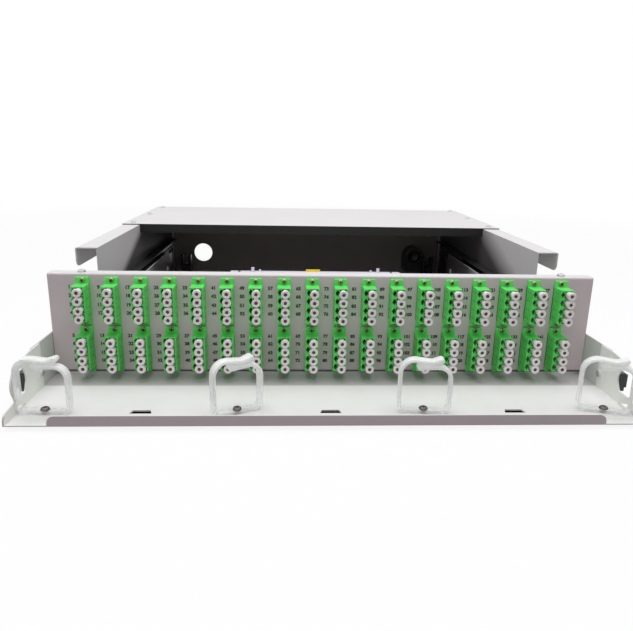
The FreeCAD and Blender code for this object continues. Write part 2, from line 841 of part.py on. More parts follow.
front_floor = box("front_floor", "overall_width", "wing_front + wing_back", "gauge", "-overall_width / 2",
                  "-wing_front", TRAY_LOW)
wing = box("wing", "gauge", "wing_front + wing_back", "wing_height - " + TRAY_LOW, CHEEK_OUTER,
           "-wing_front", TRAY_LOW)
bin_floor = box("bin_floor", "2 * " + TRAY_HALF, "tray_depth", "gauge", "-" + TRAY_HALF, "0", TRAY_LOW)
bin_wall = box("bin_wall", "gauge", "tray_depth - tray_wall_start", "tray_wall", TRAY_HALF + " - gauge",
               "tray_wall_start", TRAY_LOW)
bin_rear = box("bin_rear", "2 * " + TRAY_HALF, "gauge", "tray_rear_lip", "-" + TRAY_HALF,
               "tray_depth - gauge", TRAY_LOW)
tray_holes = []
for side, sign in (("right", ""), ("left", "-")):
    wing_x = CHEEK_OUTER + " - 1" if side == "right" else "-overall_width / 2 - 1"
    wall_x = TRAY_HALF + " - gauge - 1" if side == "right" else "-%s - 1" % TRAY_HALF
    tray_holes.append(rod("wing_hole_" + side, "pan_shank + shank_fit", "gauge + 2", "X", wing_x,
                          shelf_screw_y, "shelf_screw_height"))
    for index, z in enumerate(bracket_screw_zs):
        tray_holes.append(rod("bracket_hole_%s_%d" % (side, index), "pan_shank + shank_fit", "gauge + 2",
                              "X", wing_x, wing_screw_y, z))
    for index, offset in enumerate(slide_screw_offsets):
        tray_holes.append(rod("bin_hole_%s_%d" % (side, index), "pan_shank + shank_fit", "gauge + 2", "X",
                              wall_x, "%s + %s" % (INNER_START, offset), inner_middle_z))
tray_joined = fuse("tray_joined", front_floor, wing, mirrored("other_wing", wing), bin_floor, bin_wall,
                   mirrored("other_bin_wall", bin_wall), bin_rear)
drawer_node("drawer_tray", cut("tray_cut", tray_joined, *tray_holes))


# Adapter panel: an upright sheet with its top edge folded back, cut out for two rows of adapters

panel_sheet = padded("panel_sheet", "YZ_Plane", [
    ("0", "panel_bottom"),
    ("gauge", "panel_bottom"),
    ("gauge", "panel_top - gauge"),
    ("panel_flange", "panel_top - gauge"),
    ("panel_flange", "panel_top"),
    ("0", "panel_top"),
], "panel_width")
bind(panel_sheet, x="-panel_width / 2")
panel_fold = rounded("panel_fold", panel_sheet, "bend_radius",
                     lambda middle, along: abs(along.x) > 0.99 and near(middle.y, "0")
                     and near(middle.z, "panel_top"))

column_numbers = range(int(number("column_count")))
column_places = [number("(%d - (column_count - 1) / 2) * column_pitch" % index) for index in column_numbers]
row_places = [number("lower_row_height"), number(UPPER_ROW)]


def panel_openings():
    """One window and two screw holes for each adapter."""
    wide = number("adapter_width - 2 * adapter_side_step + 2 * adapter_fit")
    tall = number("adapter_body - 2 * adapter_end_step + 2 * adapter_fit")
    deep = number("3 * gauge")
    tools = []
    for x in column_places:
        for z in row_places:
            corner = FreeCAD.Vector(x - wide / 2, -deep / 3, z - tall / 2)
            tools.append(Part.makeBox(wide, deep, tall, corner))
            for reach in (-number("screw_reach"), number("screw_reach")):
                start = FreeCAD.Vector(x, -deep / 3, z + reach)
                tools.append(Part.makeCylinder(number("small_shank + shank_fit"), deep, start, BACKWARD))
    return Part.Compound(tools)


bracket_screw_x = "(panel_width / 2 - bracket_screw_inset)"
flange_holes = []
for side, sign in (("right", ""), ("left", "-")):
    flange_holes.append(rod("flange_screw_" + side, "pan_shank + shank_fit", "2 * gauge", "Z",
                            sign + bracket_screw_x, wing_screw_y, "panel_top - 1.5 * gauge"))
windows = made("windows", panel_openings())
panel_cut = doc.addObject("Part::Cut", "panel_cut")
panel_cut.Base = cut("panel_drilled", panel_fold, *flange_holes)
panel_cut.Tool = windows
drawer_node("adapter_panel", panel_cut)


# Panel brackets: an upright behind the panel, a leg along the wing and a tab under the panel's flange

upright_x = "(overall_width / 2 - gauge - bracket_inset)"
bracket_back = box("bracket_back", "bracket_inset", "gauge", "panel_top - gauge", upright_x, "gauge", "0")
bracket_leg = box("bracket_leg", "gauge", "wing_back - gauge", "wing_height - gauge",
                  "overall_width / 2 - 2 * gauge", "gauge", "0")
bracket_top = box("bracket_top", "bracket_tab", "panel_flange - 1.5 * gauge", "gauge",
                  "overall_width / 2 - gauge - bracket_tab", "gauge", "panel_top - 2 * gauge")
bracket_holes = [rod("tab_hole", "pan_shank + shank_fit", "3 * gauge", "Z", bracket_screw_x, wing_screw_y,
                     "panel_top - 3 * gauge")]
for index, z in enumerate(bracket_screw_zs):
    bracket_holes.append(rod("leg_hole_%d" % index, "pan_shank + shank_fit", "3 * gauge", "X",
                             "overall_width / 2 - 3 * gauge", wing_screw_y, z))
bracket_right = cut("bracket_right", fuse("bracket_solid", bracket_back, bracket_leg, bracket_top),
                    *bracket_holes)
brackets = doc.addObject("Part::Compound", "brackets")
brackets.Links = [bracket_right, mirrored("bracket_left", bracket_right)]
drawer_node("panel_brackets", brackets)


# Front shelf: floor, upturned lip, low side flanges and the two cheeks with their grip holes

def cheek_shape():
    """The right-hand cheek, its nose held off the floor, with a D-shaped grip hole."""
    outer = number(CHEEK_OUTER)
    thick = number("gauge")
    top = number("wing_height")
    nose = number("cheek_nose")
    back = number("shelf_back")
    low = number("grip_low")
    high = number("grip_high")
    middle = (low + high) / 2

    def spot(forward, height):
        return FreeCAD.Vector(outer - thick, -forward, height)

    edge = [
        (spot(back, -thick), 0),
        (spot(back, top), 0),
        (spot(nose - number("cheek_slope"), top), number("cheek_slope_bend")),
        (spot(nose - number("cheek_brow"), high + number("cheek_brow_rise")), number("cheek_brow")),
        (spot(nose, middle + number("cheek_nose_rise")), number("cheek_nose_bend")),
        (spot(nose - number("cheek_chin"), low - number("cheek_chin_drop")), number("cheek_chin_bend")),
        (spot(nose - number("cheek_throat"), 0), number("cheek_throat_bend")),
        (spot(nose - number("cheek_foot"), -thick), 0),
    ]
    grip_back = number("grip_back")
    grip_front = number("grip_front")
    shoulder = grip_back + number("grip_shoulder")
    corner = grip_front - number("grip_taper")
    hole = [
        (spot(shoulder, high), number("grip_back_bend")),
        (spot(grip_back - number("grip_bulge"), middle), number("grip_bulge_bend")),
        (spot(shoulder, low), number("grip_back_bend")),
        (spot(corner, low), number("grip_corner_bend")),
        (spot(grip_front, middle), number("grip_front_bend")),
        (spot(corner, high), number("grip_corner_bend")),
    ]
    cheek = plate(edge, FreeCAD.Vector(thick, 0, 0))
    opening = [(point - FreeCAD.Vector(1, 0, 0), radius) for point, radius in hole]
    return cheek.cut(plate(opening, FreeCAD.Vector(thick + 2, 0, 0)))


def low_flange_shape():
    """The right-hand low flange beside the shelf's front corner, with both ends rounded."""
    outer = number(CHEEK_OUTER)
    thick = number("gauge")
    height = number("side_flange")
    front = number("shelf_front")
    back = number("side_flange_back")

    def spot(forward, level):
        return FreeCAD.Vector(outer - thick, -forward, level)

    edge = [
        (spot(back, -thick), 0),
        (spot(back, height), height / 2),
        (spot(front - thick, height - number("side_flange_slope")), height - number("side_flange_trim")),
        (spot(front, -thick), 0),
    ]
    return plate(edge, FreeCAD.Vector(thick, 0, 0))


def lip_shape():
    """The upturned front lip, rounded at its two upper corners."""
    half = number("shelf_lip_length / 2")
    front = -number("shelf_front")
    height = number("shelf_lip")
    thick = number("gauge")
    edge = [
        (FreeCAD.Vector(-half, front, -thick), 0),
        (FreeCAD.Vector(-half, front, height), height - number("shelf_lip_trim")),
        (FreeCAD.Vector(half, front, height), height - number("shelf_lip_trim")),
        (FreeCAD.Vector(half, front, -thick), 0),
    ]
    return plate(edge, FreeCAD.Vector(0, thick, 0))


def tab_slot_shape(x):
    """One tapered slot through the shelf, wider at its front."""
    wide = number("tab_slot_front") / 2
    narrow = number("tab_slot_back") / 2
    back = -number("tab_slot_place")
    front = back - number("tab_slot_depth")
    low = -number("gauge") - 1
    corner = number("tab_slot_corner")
    edge = [
        (FreeCAD.Vector(x - wide, front, low), corner),
        (FreeCAD.Vector(x + wide, front, low), corner),
        (FreeCAD.Vector(x + narrow, back, low), corner),
        (FreeCAD.Vector(x - narrow, back, low), corner),
    ]
    return plate(edge, FreeCAD.Vector(0, 0, number("gauge") + 2))


ring_places = ["-ring_outer_place", "-ring_inner_place", "ring_inner_place", "ring_outer_place"]
shelf_floor = box("shelf_floor", "2 * " + CHEEK_OUTER, "shelf_front - shelf_back", "gauge",
                  "-" + CHEEK_OUTER,
                  "-shelf_front", "-gauge")
cheek = made("cheek", cheek_shape())
low_flange = made("low_flange", low_flange_shape())
lip = made("lip", lip_shape())
slot_xs = [-number("tab_slot_spacing"), 0, number("tab_slot_spacing")]
slots = made("slots", Part.Compound([tab_slot_shape(x) for x in slot_xs]))
shelf_holes = [slots]
for index, x in enumerate(ring_places):
    shelf_holes.append(rod("ring_hole_%d" % index, "pan_shank + shank_fit", "3 * gauge", "Z", x,
                           "-ring_line",
                           "-2 * gauge"))
for side, start in (("right", "overall_width / 2 - 3 * gauge"), ("left", "-overall_width / 2")):
    shelf_holes.append(rod("cheek_hole_" + side, "pan_shank + shank_fit", "3 * gauge", "X", start,
                           shelf_screw_y, "shelf_screw_height"))
shelf_joined = fuse("shelf_joined", shelf_floor, cheek, mirrored("other_cheek", cheek), low_flange,
                    mirrored("other_flange", low_flange), lip)
shelf_bent = rounded("shelf_bent", shelf_joined, "gauge",
                     lambda middle, along: abs(along.x) > 0.99 and near(middle.y, "-shelf_front")
                     and near(middle.z, "-gauge"))
drawer_node("front_shelf", cut("shelf_cut", shelf_bent, *shelf_holes))


# Drawer screws: slide members, brackets, shelf cheeks and cable rings

drawer_screw_places = []
for sign, outward, inward in (("", RIGHT, LEFT), ("-", LEFT, RIGHT)):
    for offset in slide_screw_offsets:
        along = "%s + %s" % (INNER_START, offset)
        place = vector("%s(%s - gauge)" % (sign, TRAY_HALF), along, inner_middle_z)
        drawer_screw_places.append((place, inward))
    for z in bracket_screw_zs:
        drawer_screw_places.append((vector(sign + "(overall_width / 2)", wing_screw_y, z), outward))
    drawer_screw_places.append((vector(sign + bracket_screw_x, wing_screw_y, "panel_top"), UP))
    place = vector(sign + "(overall_width / 2 - 2 * gauge)", shelf_screw_y, "shelf_screw_height")
    drawer_screw_places.append((place, inward))
drawer_node("drawer_screws", group("drawer_screw_group", pan_screw, drawer_screw_places))

ring_screw_shape = screw_shape("pan_head_radius", "pan_head_height", "pan_shank",
                               "ring_strip + gauge + ring_screw_end")
ring_screw_places = [(vector(x, "-ring_line", "ring_strip"), UP) for x in ring_places]
drawer_node("ring_screws", group("ring_screw_group", ring_screw_shape, ring_screw_places))


# Cable rings: one bent strip each, open at the top, where the left arm laps over the right one

def ring_shape():
    """One ring about its own screw, with its strip's middle line in the XZ plane."""
    strip = number("ring_strip")
    side = (number("ring_width") - strip) / 2
    top = number("ring_height") - strip / 2
    lower = top - number("ring_arm_step")
    foot = strip / 2
    corner = number("ring_corner")
    foot_corner = number("ring_foot_corner")

    def spot(across, height):
        return FreeCAD.Vector(across, 0, height)

    tip = spot(side * number("ring_tip_share"), top - number("ring_tip_drop"))
    middle_line = [
        (tip, 0),
        (spot(side * number("ring_dip_share"), top - number("ring_dip")), number("ring_dip_bend")),
        (spot(-side, top), corner),
        (spot(-side, foot), foot_corner),
        (spot(side, foot), foot_corner),
        (spot(side, lower), number("ring_lower_corner")),
        (spot(-side * number("ring_lower_share"), lower - number("ring_lower_drop")), 0),
    ]
    face = soft_wire(middle_line, False).makeOffset2D(strip / 2, 0, True, False)
    depth = number("ring_depth")
    ring = face.extrude(FreeCAD.Vector(0, depth, 0))
    ring.translate(FreeCAD.Vector(0, -depth / 2, 0))
    end = tip - FreeCAD.Vector(0, depth / 2, 0)
    ring = ring.fuse(Part.makeCylinder(number("ring_tip"), depth, end, BACKWARD))
    hole = Part.makeCylinder(number("pan_shank + shank_fit"), strip * 3, FreeCAD.Vector(0, 0, -strip))
    return ring.cut(hole).removeSplitter()


ring_blank = ring_shape()
for index, x in enumerate(ring_places):
    ring = ring_blank.copy()
    ring.rotate(FreeCAD.Vector(0, 0, 0), AXES["Z"], number("ring_turn_%d" % (index + 1)))
    ring.translate(vector(x, "-ring_line", "0"))
    drawer_node("cable_ring_%d" % (index + 1), made("ring_%d" % (index + 1), ring))


# Adapters: four ports each, in an ear plate that screws to the panel's face

PORT_OFFSETS = ["-port_near - port_step", "-port_near", "port_near", "port_near + port_step"]


def adapter():
    """One adapter about its own middle, with its ear plate's back on the panel's face."""
    ears = box("ears", "adapter_width", "ear_thickness", "ear_height", "-adapter_width / 2",
               "-ear_thickness", "-ear_height / 2")
    soft_ears = rounded("soft_ears", ears, "ear_corner", lambda middle, along: abs(along.y) > 0.99)
    front = box("adapter_front_body", "adapter_width", "adapter_front", "adapter_body", "-adapter_width / 2",
                "-adapter_front", "-adapter_body / 2")
    back = box("adapter_back_body", "adapter_width - 2 * adapter_side_step", "adapter_back",
               "adapter_body - 2 * adapter_end_step", "-adapter_width / 2 + adapter_side_step", "0",
               "-adapter_body / 2 + adapter_end_step")
    tools = []
    for index, z in enumerate(PORT_OFFSETS):
        tools.append(box("front_port_%d" % index, "port_side", "adapter_front - port_web / 2 + 1",
                         "port_side", "port_shift - port_side / 2", "-adapter_front - 1",
                         z + " - port_side / 2"))
        tools.append(box("back_port_%d" % index, "port_side", "adapter_back - port_web / 2 + 1", "port_side",
                         "port_shift - port_side / 2", "port_web / 2", z + " - port_side / 2"))
        tools.append(rod("sleeve_hole_%d" % index, "sleeve_radius + sleeve_fit", "port_web + 2", "Y",
                         "port_shift", "-port_web / 2 - 1", z))
        tools.append(box("key_bar_%d" % index, "keyway_width", "keyway_depth + 1", "keyway_bar",
                         "-keyway_shift - keyway_width / 2", "-adapter_front - 1", z + " - keyway_bar / 2"))
        tools.append(box("key_post_%d" % index, "keyway_bar", "keyway_depth + 1", "keyway_height",
                         "-keyway_shift - keyway_bar / 2", "-adapter_front - 1", z + " - keyway_height / 2"))
    for index, z in enumerate(("-screw_reach", "screw_reach")):
        tools.append(rod("ear_hole_%d" % index, "small_shank + shank_fit", "ear_thickness + 2", "Y", "0",
                         "-ear_thickness - 1", z))
    return cut("adapter", fuse("adapter_solid", soft_ears, front, back), *tools)


adapter_solid = adapter()
doc.recompute()
adapter_blank = adapter_solid.Shape.Solids[0]


def placed(shape, places):
    """Copies of a solid, moved without turning, as one compound."""
    copies = []
    for point in places:
        copy = shape.copy()
        copy.translate(point)
        copies.append(copy)
    return Part.Compound(copies)


for index, x in enumerate(column_places):
    column = placed(adapter_blank, [FreeCAD.Vector(x, 0, z) for z in row_places])
    drawer_node("adapter_column_%02d" % (index + 1), made("column_%02d" % (index + 1), column))


# Adapter screws in front of the ears, with their nuts behind the panel

small_screw = screw_shape("small_head_radius", "small_head_height", "small_shank",
                          "ear_thickness + gauge + small_nut_height")
ear_screw_spots = []
for x in column_places:
    for z in row_places:
        for reach in (-number("screw_reach"), number("screw_reach")):
            ear_screw_spots.append(FreeCAD.Vector(x, 0, z + reach))
screw_places = [(spot - AXES["Y"] * number("ear_thickness"), FORWARD) for spot in ear_screw_spots]
drawer_node("adapter_screws", group("adapter_screw_group", small_screw, screw_places))

hexagon = doc.addObject("Part::Prism", "small_nut_blank")
hexagon.Polygon = 6
hexagon.Placement.Rotation = FreeCAD.Rotation(AXES["Z"], AXES["Y"])
bind(hexagon, Circumradius="small_nut", Height="small_nut_height", y="gauge")
small_nut_hole = rod("small_nut_hole", "small_shank + shank_fit", "small_nut_height + 2", "Y", "0", "0", "0")
small_nut = cut("small_nut_solid", hexagon, small_nut_hole)
doc.recompute()
drawer_node("adapter_nuts", made("adapter_nut_group", placed(small_nut.Shape.Solids[0], ear_screw_spots)))


# Ceramic sleeves and dust caps, one of each per port and side

port_heights = [number(text) for text in PORT_OFFSETS]


def port_spots(rows):
    """The middle of every port of the given rows, on the panel's face."""
    spots = []
    for x in column_places:
        for z in rows:
            for height in port_heights:
                spots.append(FreeCAD.Vector(x + number("port_shift"), 0, z + height))
    return spots


def sleeve_shape():
    """One split-free sleeve along Y, through the adapter's middle web."""
    length = number("sleeve_length")
    start = FreeCAD.Vector(0, -length / 2, 0)
    outside = Part.makeCylinder(number("sleeve_radius"), length, start, BACKWARD)
    return outside.cut(Part.makeCylinder(number("sleeve_bore"), length, start, BACKWARD))


def cap_shape(face, outward):
    """One dust cap: a stem in the port and a flared head with a funnel mouth, facing front or back."""
    flare = number("cap_radius")
    neck = number("cap_neck")
    head = number("cap_head")
    gap = number("cap_gap")
    bore = number("cap_bore")
    start = gap
    end = gap + head
    stem = number("cap_stem_radius")
    corners = [
        (bore, end - number("cap_bore_depth")),
        (bore, end - number("cap_rim")),
        (flare - number("cap_mouth"), end - number("cap_mouth_drop")),
        (flare - number("cap_lip"), end),
        (flare, end - number("cap_lip_drop")),
        (flare, end - number("cap_rim")),
        (neck, start),
        (stem, start),
        (stem, start - number("cap_stem")),
        (0, start - number("cap_stem")),
        (0, end - number("cap_bore_depth")),
    ]
    points = [FreeCAD.Vector(radius, 0, height) for radius, height in corners]
    face_shape = Part.Face(Part.makePolygon(points + [points[0]]))
    cap = face_shape.revolve(FreeCAD.Vector(0, 0, 0), AXES["Z"], 360)
    cap.Placement = FreeCAD.Placement(FreeCAD.Vector(0, face, 0), FreeCAD.Rotation(AXES["Z"], outward))
    return cap


drawer_node("alignment_sleeves", made("sleeves", placed(sleeve_shape(), port_spots(row_places))))
front_cap = cap_shape(-number("adapter_front"), FORWARD)
back_cap = cap_shape(number("adapter_back"), BACKWARD)
drawer_node("dust_caps_lower", made("caps_lower", placed(front_cap, port_spots(row_places[:1]))))
drawer_node("dust_caps_upper", made("caps_upper", placed(front_cap, port_spots(row_places[1:]))))
drawer_node("dust_caps_rear", made("caps_rear", placed(back_cap, port_spots(row_places))))


# Splice trays: a stand with posts and ears, the trays threaded on the posts, a lid and a tag on it

SPLICE_LEFT = "(splice_shift - splice_width / 2)"
SPLICE_BACK = "(splice_start + splice_depth)"
SPLICE_STEP = "(splice_height + splice_gap)"
STAND_LOW = "(-gauge)"
TRAYS_LOW = "(splice_stand_rise - gauge)"
TRAYS_TOP = "(splice_stand_rise - gauge + splice_count * %s)" % SPLICE_STEP
LID_TOP = "(%s + splice_lid_gauge)" % TRAYS_TOP
post_xs = ["splice_shift - splice_post_place", "splice_shift + splice_post_place"]
post_ys = ["splice_start + splice_post_inset", SPLICE_BACK + " - splice_post_inset"]
post_spots = [(x, y) for x in post_xs for y in post_ys]


def splice_posts(name, radius, low, height):
    """Four upright cylinders near the corners of the stack."""
    return [rod("%s_%d" % (name, index), radius, height, "Z", x, y, low)
            for index, (x, y) in enumerate(post_spots)]


stand_plate = box("stand_plate", "splice_width + 2 * (splice_ear_width + splice_ear_gap)", "splice_depth",
                  "splice_stand_rise - splice_gap", SPLICE_LEFT + " - splice_ear_width - splice_ear_gap",
                  "splice_start", STAND_LOW)
stand_posts = splice_posts("stand_post", "splice_post", STAND_LOW,
                           "%s - %s + splice_post_rise" % (LID_TOP, STAND_LOW))
ear_places = [SPLICE_LEFT + " - splice_ear_width - splice_ear_gap",
              SPLICE_LEFT + " + splice_width + splice_ear_gap"]
stand_ears = [box("stand_ear_%d" % index, "splice_ear_width", "splice_ear_depth",
                  "%s - %s" % (LID_TOP, STAND_LOW), x, SPLICE_BACK + " - splice_ear_depth", STAND_LOW)
              for index, x in enumerate(ear_places)]
drawer_node("splice_stand", fuse("stand", stand_plate, *stand_posts, *stand_ears))

tray_block = box("tray_block", "splice_width", "splice_depth", "splice_height", SPLICE_LEFT, "splice_start",
                 TRAYS_LOW)
tray_hollow = box("tray_hollow", "splice_width - 2 * splice_wall", "splice_depth - 2 * splice_wall",
                  "splice_height", SPLICE_LEFT + " + splice_wall", "splice_start + splice_wall",
                  TRAYS_LOW + " + splice_wall")
tray_shell = cut("tray_shell", tray_block, tray_hollow)
sockets = splice_posts("tray_socket", "splice_post + splice_wall", TRAYS_LOW, "splice_height")
comb = box("comb", "splice_width / 3", "splice_depth / 4", "splice_height / 2",
           "splice_shift - splice_width / 6", "splice_start + splice_depth * 3 / 8", TRAYS_LOW)
eyes = splice_posts("tray_eye", "splice_post + splice_post_fit", TRAYS_LOW + " - 1", "splice_height + 2")
lowest_tray = cut("lowest_tray", fuse("tray_solid", tray_shell, comb, *sockets), *eyes)
doc.recompute()
for index in range(int(number("splice_count"))):
    tray = lowest_tray.Shape.copy()
    tray.translate(FreeCAD.Vector(0, 0, index * number(SPLICE_STEP)))
    drawer_node("splice_tray_%d" % (index + 1), made("tray_%d" % (index + 1), tray))

lid_sheet = box("lid_sheet", "splice_width", "splice_depth", "splice_lid_gauge", SPLICE_LEFT, "splice_start",
                TRAYS_TOP)
lid_knobs = [rod("lid_knob_%d" % index, "splice_knob", "splice_lid_gauge + splice_knob_rise", "Z",
                 "splice_shift %s splice_knob_place" % sign, SPLICE_BACK + " - splice_post_inset", TRAYS_TOP)
             for index, sign in enumerate("-+")]
lid_eyes = splice_posts("lid_eye", "splice_post + splice_post_fit", TRAYS_TOP + " - 1",
                        "splice_lid_gauge + 2")
drawer_node("splice_lid", cut("lid", fuse("lid_solid", lid_sheet, *lid_knobs), *lid_eyes))
drawer_node("splice_tag", box("tag", "splice_tag_width", "splice_post_inset", "splice_tag_rise",
                              "splice_shift - splice_tag_shift - splice_tag_width / 2",
                              SPLICE_BACK + " - splice_post_inset", LID_TOP))


# Side latches: an open block on each cheek, with a sprung bolt that is pressed in sideways

LATCH_Y = "(-latch_place)"
LATCH_FACE = "(%s + latch_case_depth)" % CHEEK_OUTER
latch_case = box("latch_case", "latch_case_depth", "latch_length", "latch_height", CHEEK_OUTER, LATCH_Y,
                 "latch_low")
latch_pocket = box("latch_pocket", "latch_case_depth", "latch_length - 2 * latch_wall",
                   "latch_height - 2 * latch_wall", CHEEK_OUTER + " + latch_floor",
                   LATCH_Y + " + latch_wall", "latch_low + latch_wall")
latch_right = cut("latch_right", latch_case, latch_pocket)
latch_pair = doc.addObject("Part::Compound", "latch_pair")
latch_pair.Links = [latch_right, mirrored("latch_left", latch_right)]
drawer_node("latch_housings", latch_pair)

bolt_start = "(%s + latch_floor + latch_travel + latch_fit)" % CHEEK_OUTER
bolt_end = "(%s + latch_reach)" % CHEEK_OUTER
bolt_gap = "(latch_wall + latch_fit)"


def bolt_shape():
    """The right-hand bolt: a block with a sloping outer face and a round pocket for its spring."""
    near_x = number(bolt_start)
    far_x = number(bolt_end)
    front = number(LATCH_Y + " + " + bolt_gap)
    back = number("%s + latch_length - %s" % (LATCH_Y, bolt_gap))
    low = number("latch_low + " + bolt_gap)
    high = number("latch_low + latch_height - " + bolt_gap)
    slope_start = front + (back - front) * number("bolt_flat_share")
    step = number(LATCH_FACE + " + bolt_step")
    edge = [
        (FreeCAD.Vector(near_x, front, low), 0),
        (FreeCAD.Vector(far_x, front, low), number("bolt_corner")),
        (FreeCAD.Vector(far_x, slope_start, low), number("bolt_nose_bend")),
        (FreeCAD.Vector(step, back, low), 0),
        (FreeCAD.Vector(near_x, back, low), 0),
    ]
    block = plate(edge, FreeCAD.Vector(0, 0, high - low))
    middle = FreeCAD.Vector(near_x - 1, (front + back) / 2, (low + high) / 2)
    pocket = Part.makeCylinder(number("spring_pocket_radius"), number("spring_pocket") + 1, middle, RIGHT)
    return block.cut(pocket)


bolt_right = made("bolt_right", bolt_shape())
drawer_node("latch_bolt_right", bolt_right)
drawer_node("latch_bolt_left", mirrored("bolt_left", bolt_right))


def spring_shape():
    """The right-hand latch spring: a bowed leaf from the block's floor to the bolt's pocket."""
    thick = number("spring_gauge")
    floor = number("%s + latch_floor + spring_end_gap" % CHEEK_OUTER) + thick / 2
    crown = number("%s + spring_pocket - spring_end_gap" % bolt_start) + thick / 2
    depth = number("spring_depth")
    middle = number(LATCH_Y + " + latch_length / 2")
    level = number("latch_low + latch_height / 2") - depth / 2
    reach = number("spring_span")
    leaf = [
        (FreeCAD.Vector(floor, middle - reach, level), 0),
        (FreeCAD.Vector(crown, middle, level), number("spring_bend")),
        (FreeCAD.Vector(floor, middle + reach, level), 0),
    ]
    face = soft_wire(leaf, False).makeOffset2D(thick / 2, 0, True, False)
    return face.extrude(FreeCAD.Vector(0, 0, depth))


spring_right = made("spring_right", spring_shape())
drawer_node("latch_spring_right", spring_right)
drawer_node("latch_spring_left", mirrored("spring_left", spring_right))

doc.recompute()
faults = [item.Name for item in doc.Objects if "Invalid" in item.State or "Error" in item.State]
for name, feature in nodes:
    if feature.Shape.isNull() or not feature.Shape.isValid():
        faults.append(name)
if faults:
    raise RuntimeError("these pieces failed: " + ", ".join(faults))
for name, feature in nodes:
    feature.Shape.exportStep("parts/%s.step" % name)
print("wrote %d nodes" % len(nodes))
print("closed travel %.2f" % number(CLOSED_TRAVEL))
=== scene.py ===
"""Looks of a rack-mount fibre optic patch panel whose drawer stands partly open.

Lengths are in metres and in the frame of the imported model: X to the right, Y to the back, Z up.
Sizes given in millimetres are named so.
"""

from __future__ import annotations

import logging
import math
from dataclasses import dataclass
from enum import Enum
from typing import Callable, Sequence

import bmesh
import bpy
from mathutils import Matrix, Vector

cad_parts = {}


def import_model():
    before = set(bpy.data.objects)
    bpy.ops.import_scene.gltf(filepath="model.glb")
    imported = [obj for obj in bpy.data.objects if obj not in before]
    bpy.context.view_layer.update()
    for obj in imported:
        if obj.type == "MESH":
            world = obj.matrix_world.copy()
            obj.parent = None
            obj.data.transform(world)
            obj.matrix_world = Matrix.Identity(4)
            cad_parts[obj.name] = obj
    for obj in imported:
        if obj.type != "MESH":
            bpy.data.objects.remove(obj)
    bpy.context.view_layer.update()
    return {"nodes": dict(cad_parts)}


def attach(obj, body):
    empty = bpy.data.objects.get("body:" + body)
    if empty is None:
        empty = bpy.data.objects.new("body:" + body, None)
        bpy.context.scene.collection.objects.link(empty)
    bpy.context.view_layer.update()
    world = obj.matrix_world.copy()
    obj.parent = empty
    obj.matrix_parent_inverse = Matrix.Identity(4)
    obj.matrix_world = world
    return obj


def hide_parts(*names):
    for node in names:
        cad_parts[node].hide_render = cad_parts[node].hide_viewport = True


LOG = logging.getLogger("patch_panel")
MM = 0.001
DRAWER_PLACE = Vector((0.0, -234.8, 3.5))
"""The panel's face and the shelf's top, in millimetres, which drawer pieces are measured from."""
FACE_FRONT = Matrix.Rotation(math.radians(90.0), 4, "X")
FACE_BACK = Matrix.Rotation(math.radians(-90.0), 4, "X")
"""Turns that make what is drawn about Z look at the front or at the back."""

Triple = tuple[float, float, float]
Colour = Triple
Pair = tuple[float, float]
Mesh = bmesh.types.BMesh
Vert = bmesh.types.BMVert
Level = tuple[Triple, float, float]
"""A direction, and the millimetres along it where something starts and where it is full."""

LEFT, RIGHT = (-1.0, 0.0, 0.0), (1.0, 0.0, 0.0)
FRONT, BACK = (0.0, -1.0, 0.0), (0.0, 1.0, 0.0)
DOWN, UP = (0.0, 0.0, -1.0), (0.0, 0.0, 1.0)
EVEN: Triple = (1.0, 1.0, 1.0)
"""A stretch that leaves a pattern as it is."""
FACING = (0.55, 0.8)
"""How squarely a face looks a patch's way, where the patch starts and where it is full."""
NOISE_SPAN = (0.3, 0.7)
"""The values that most of a noise lies between."""
MIX_FACTOR, MIX_FIRST, MIX_SECOND, MIX_RESULT = 0, 6, 7, 2
"""The Mix node's sockets for colours: three inputs and the output."""
EDGE_STEPS = 2
ARC_STEPS = 3
SAME_MM = 1e-4
NEAR_MM = 1e-3
FLAT_ANGLE = 0.01
ON_AXIS_MM = 1e-6
"""How close counts as one point, as the same place, as flat and as on the axis."""
LONGEST_SETBACK = 0.45
"""The share of a straight that a rounded corner may take up."""


class Body(Enum):
    """The moving bodies that pieces ride on."""

    CASE = "case"
    DRAWER = "drawer"
    RING = "ring_%d"


class Slot(Enum):
    """The record's material slots, one named for each new piece."""

    BRASS = "brass"
    GREEN = "green_plastic"
    CAP = "white_cap"
    BLACK_PLASTIC = "black_plastic"
    RING = "ring_plastic"


@dataclass(frozen=True)
class Wire:
    """A node's output that takes part in Python expressions."""

    graph: Graph
    socket: bpy.types.NodeSocket

    def _with(self, operation: str, other: Wire | float) -> Wire:
        """Add one Math node for this value and another."""
        return self.graph.add("ShaderNodeMath", {0: self, 1: other}, operation=operation)

    def __add__(self, other: Wire | float) -> Wire:
        """Sum."""
        return self._with("ADD", other)

    def __mul__(self, other: Wire | float) -> Wire:
        """Product."""
        return self._with("MULTIPLY", other)

    __radd__ = __add__

    def above(self, low: float, high: float) -> Wire:
        """Rise from 0 at one value to 1 at another, held between them."""
        return self.graph.add("ShaderNodeMapRange", {0: self, 1: low, 2: high}, clamp=True)


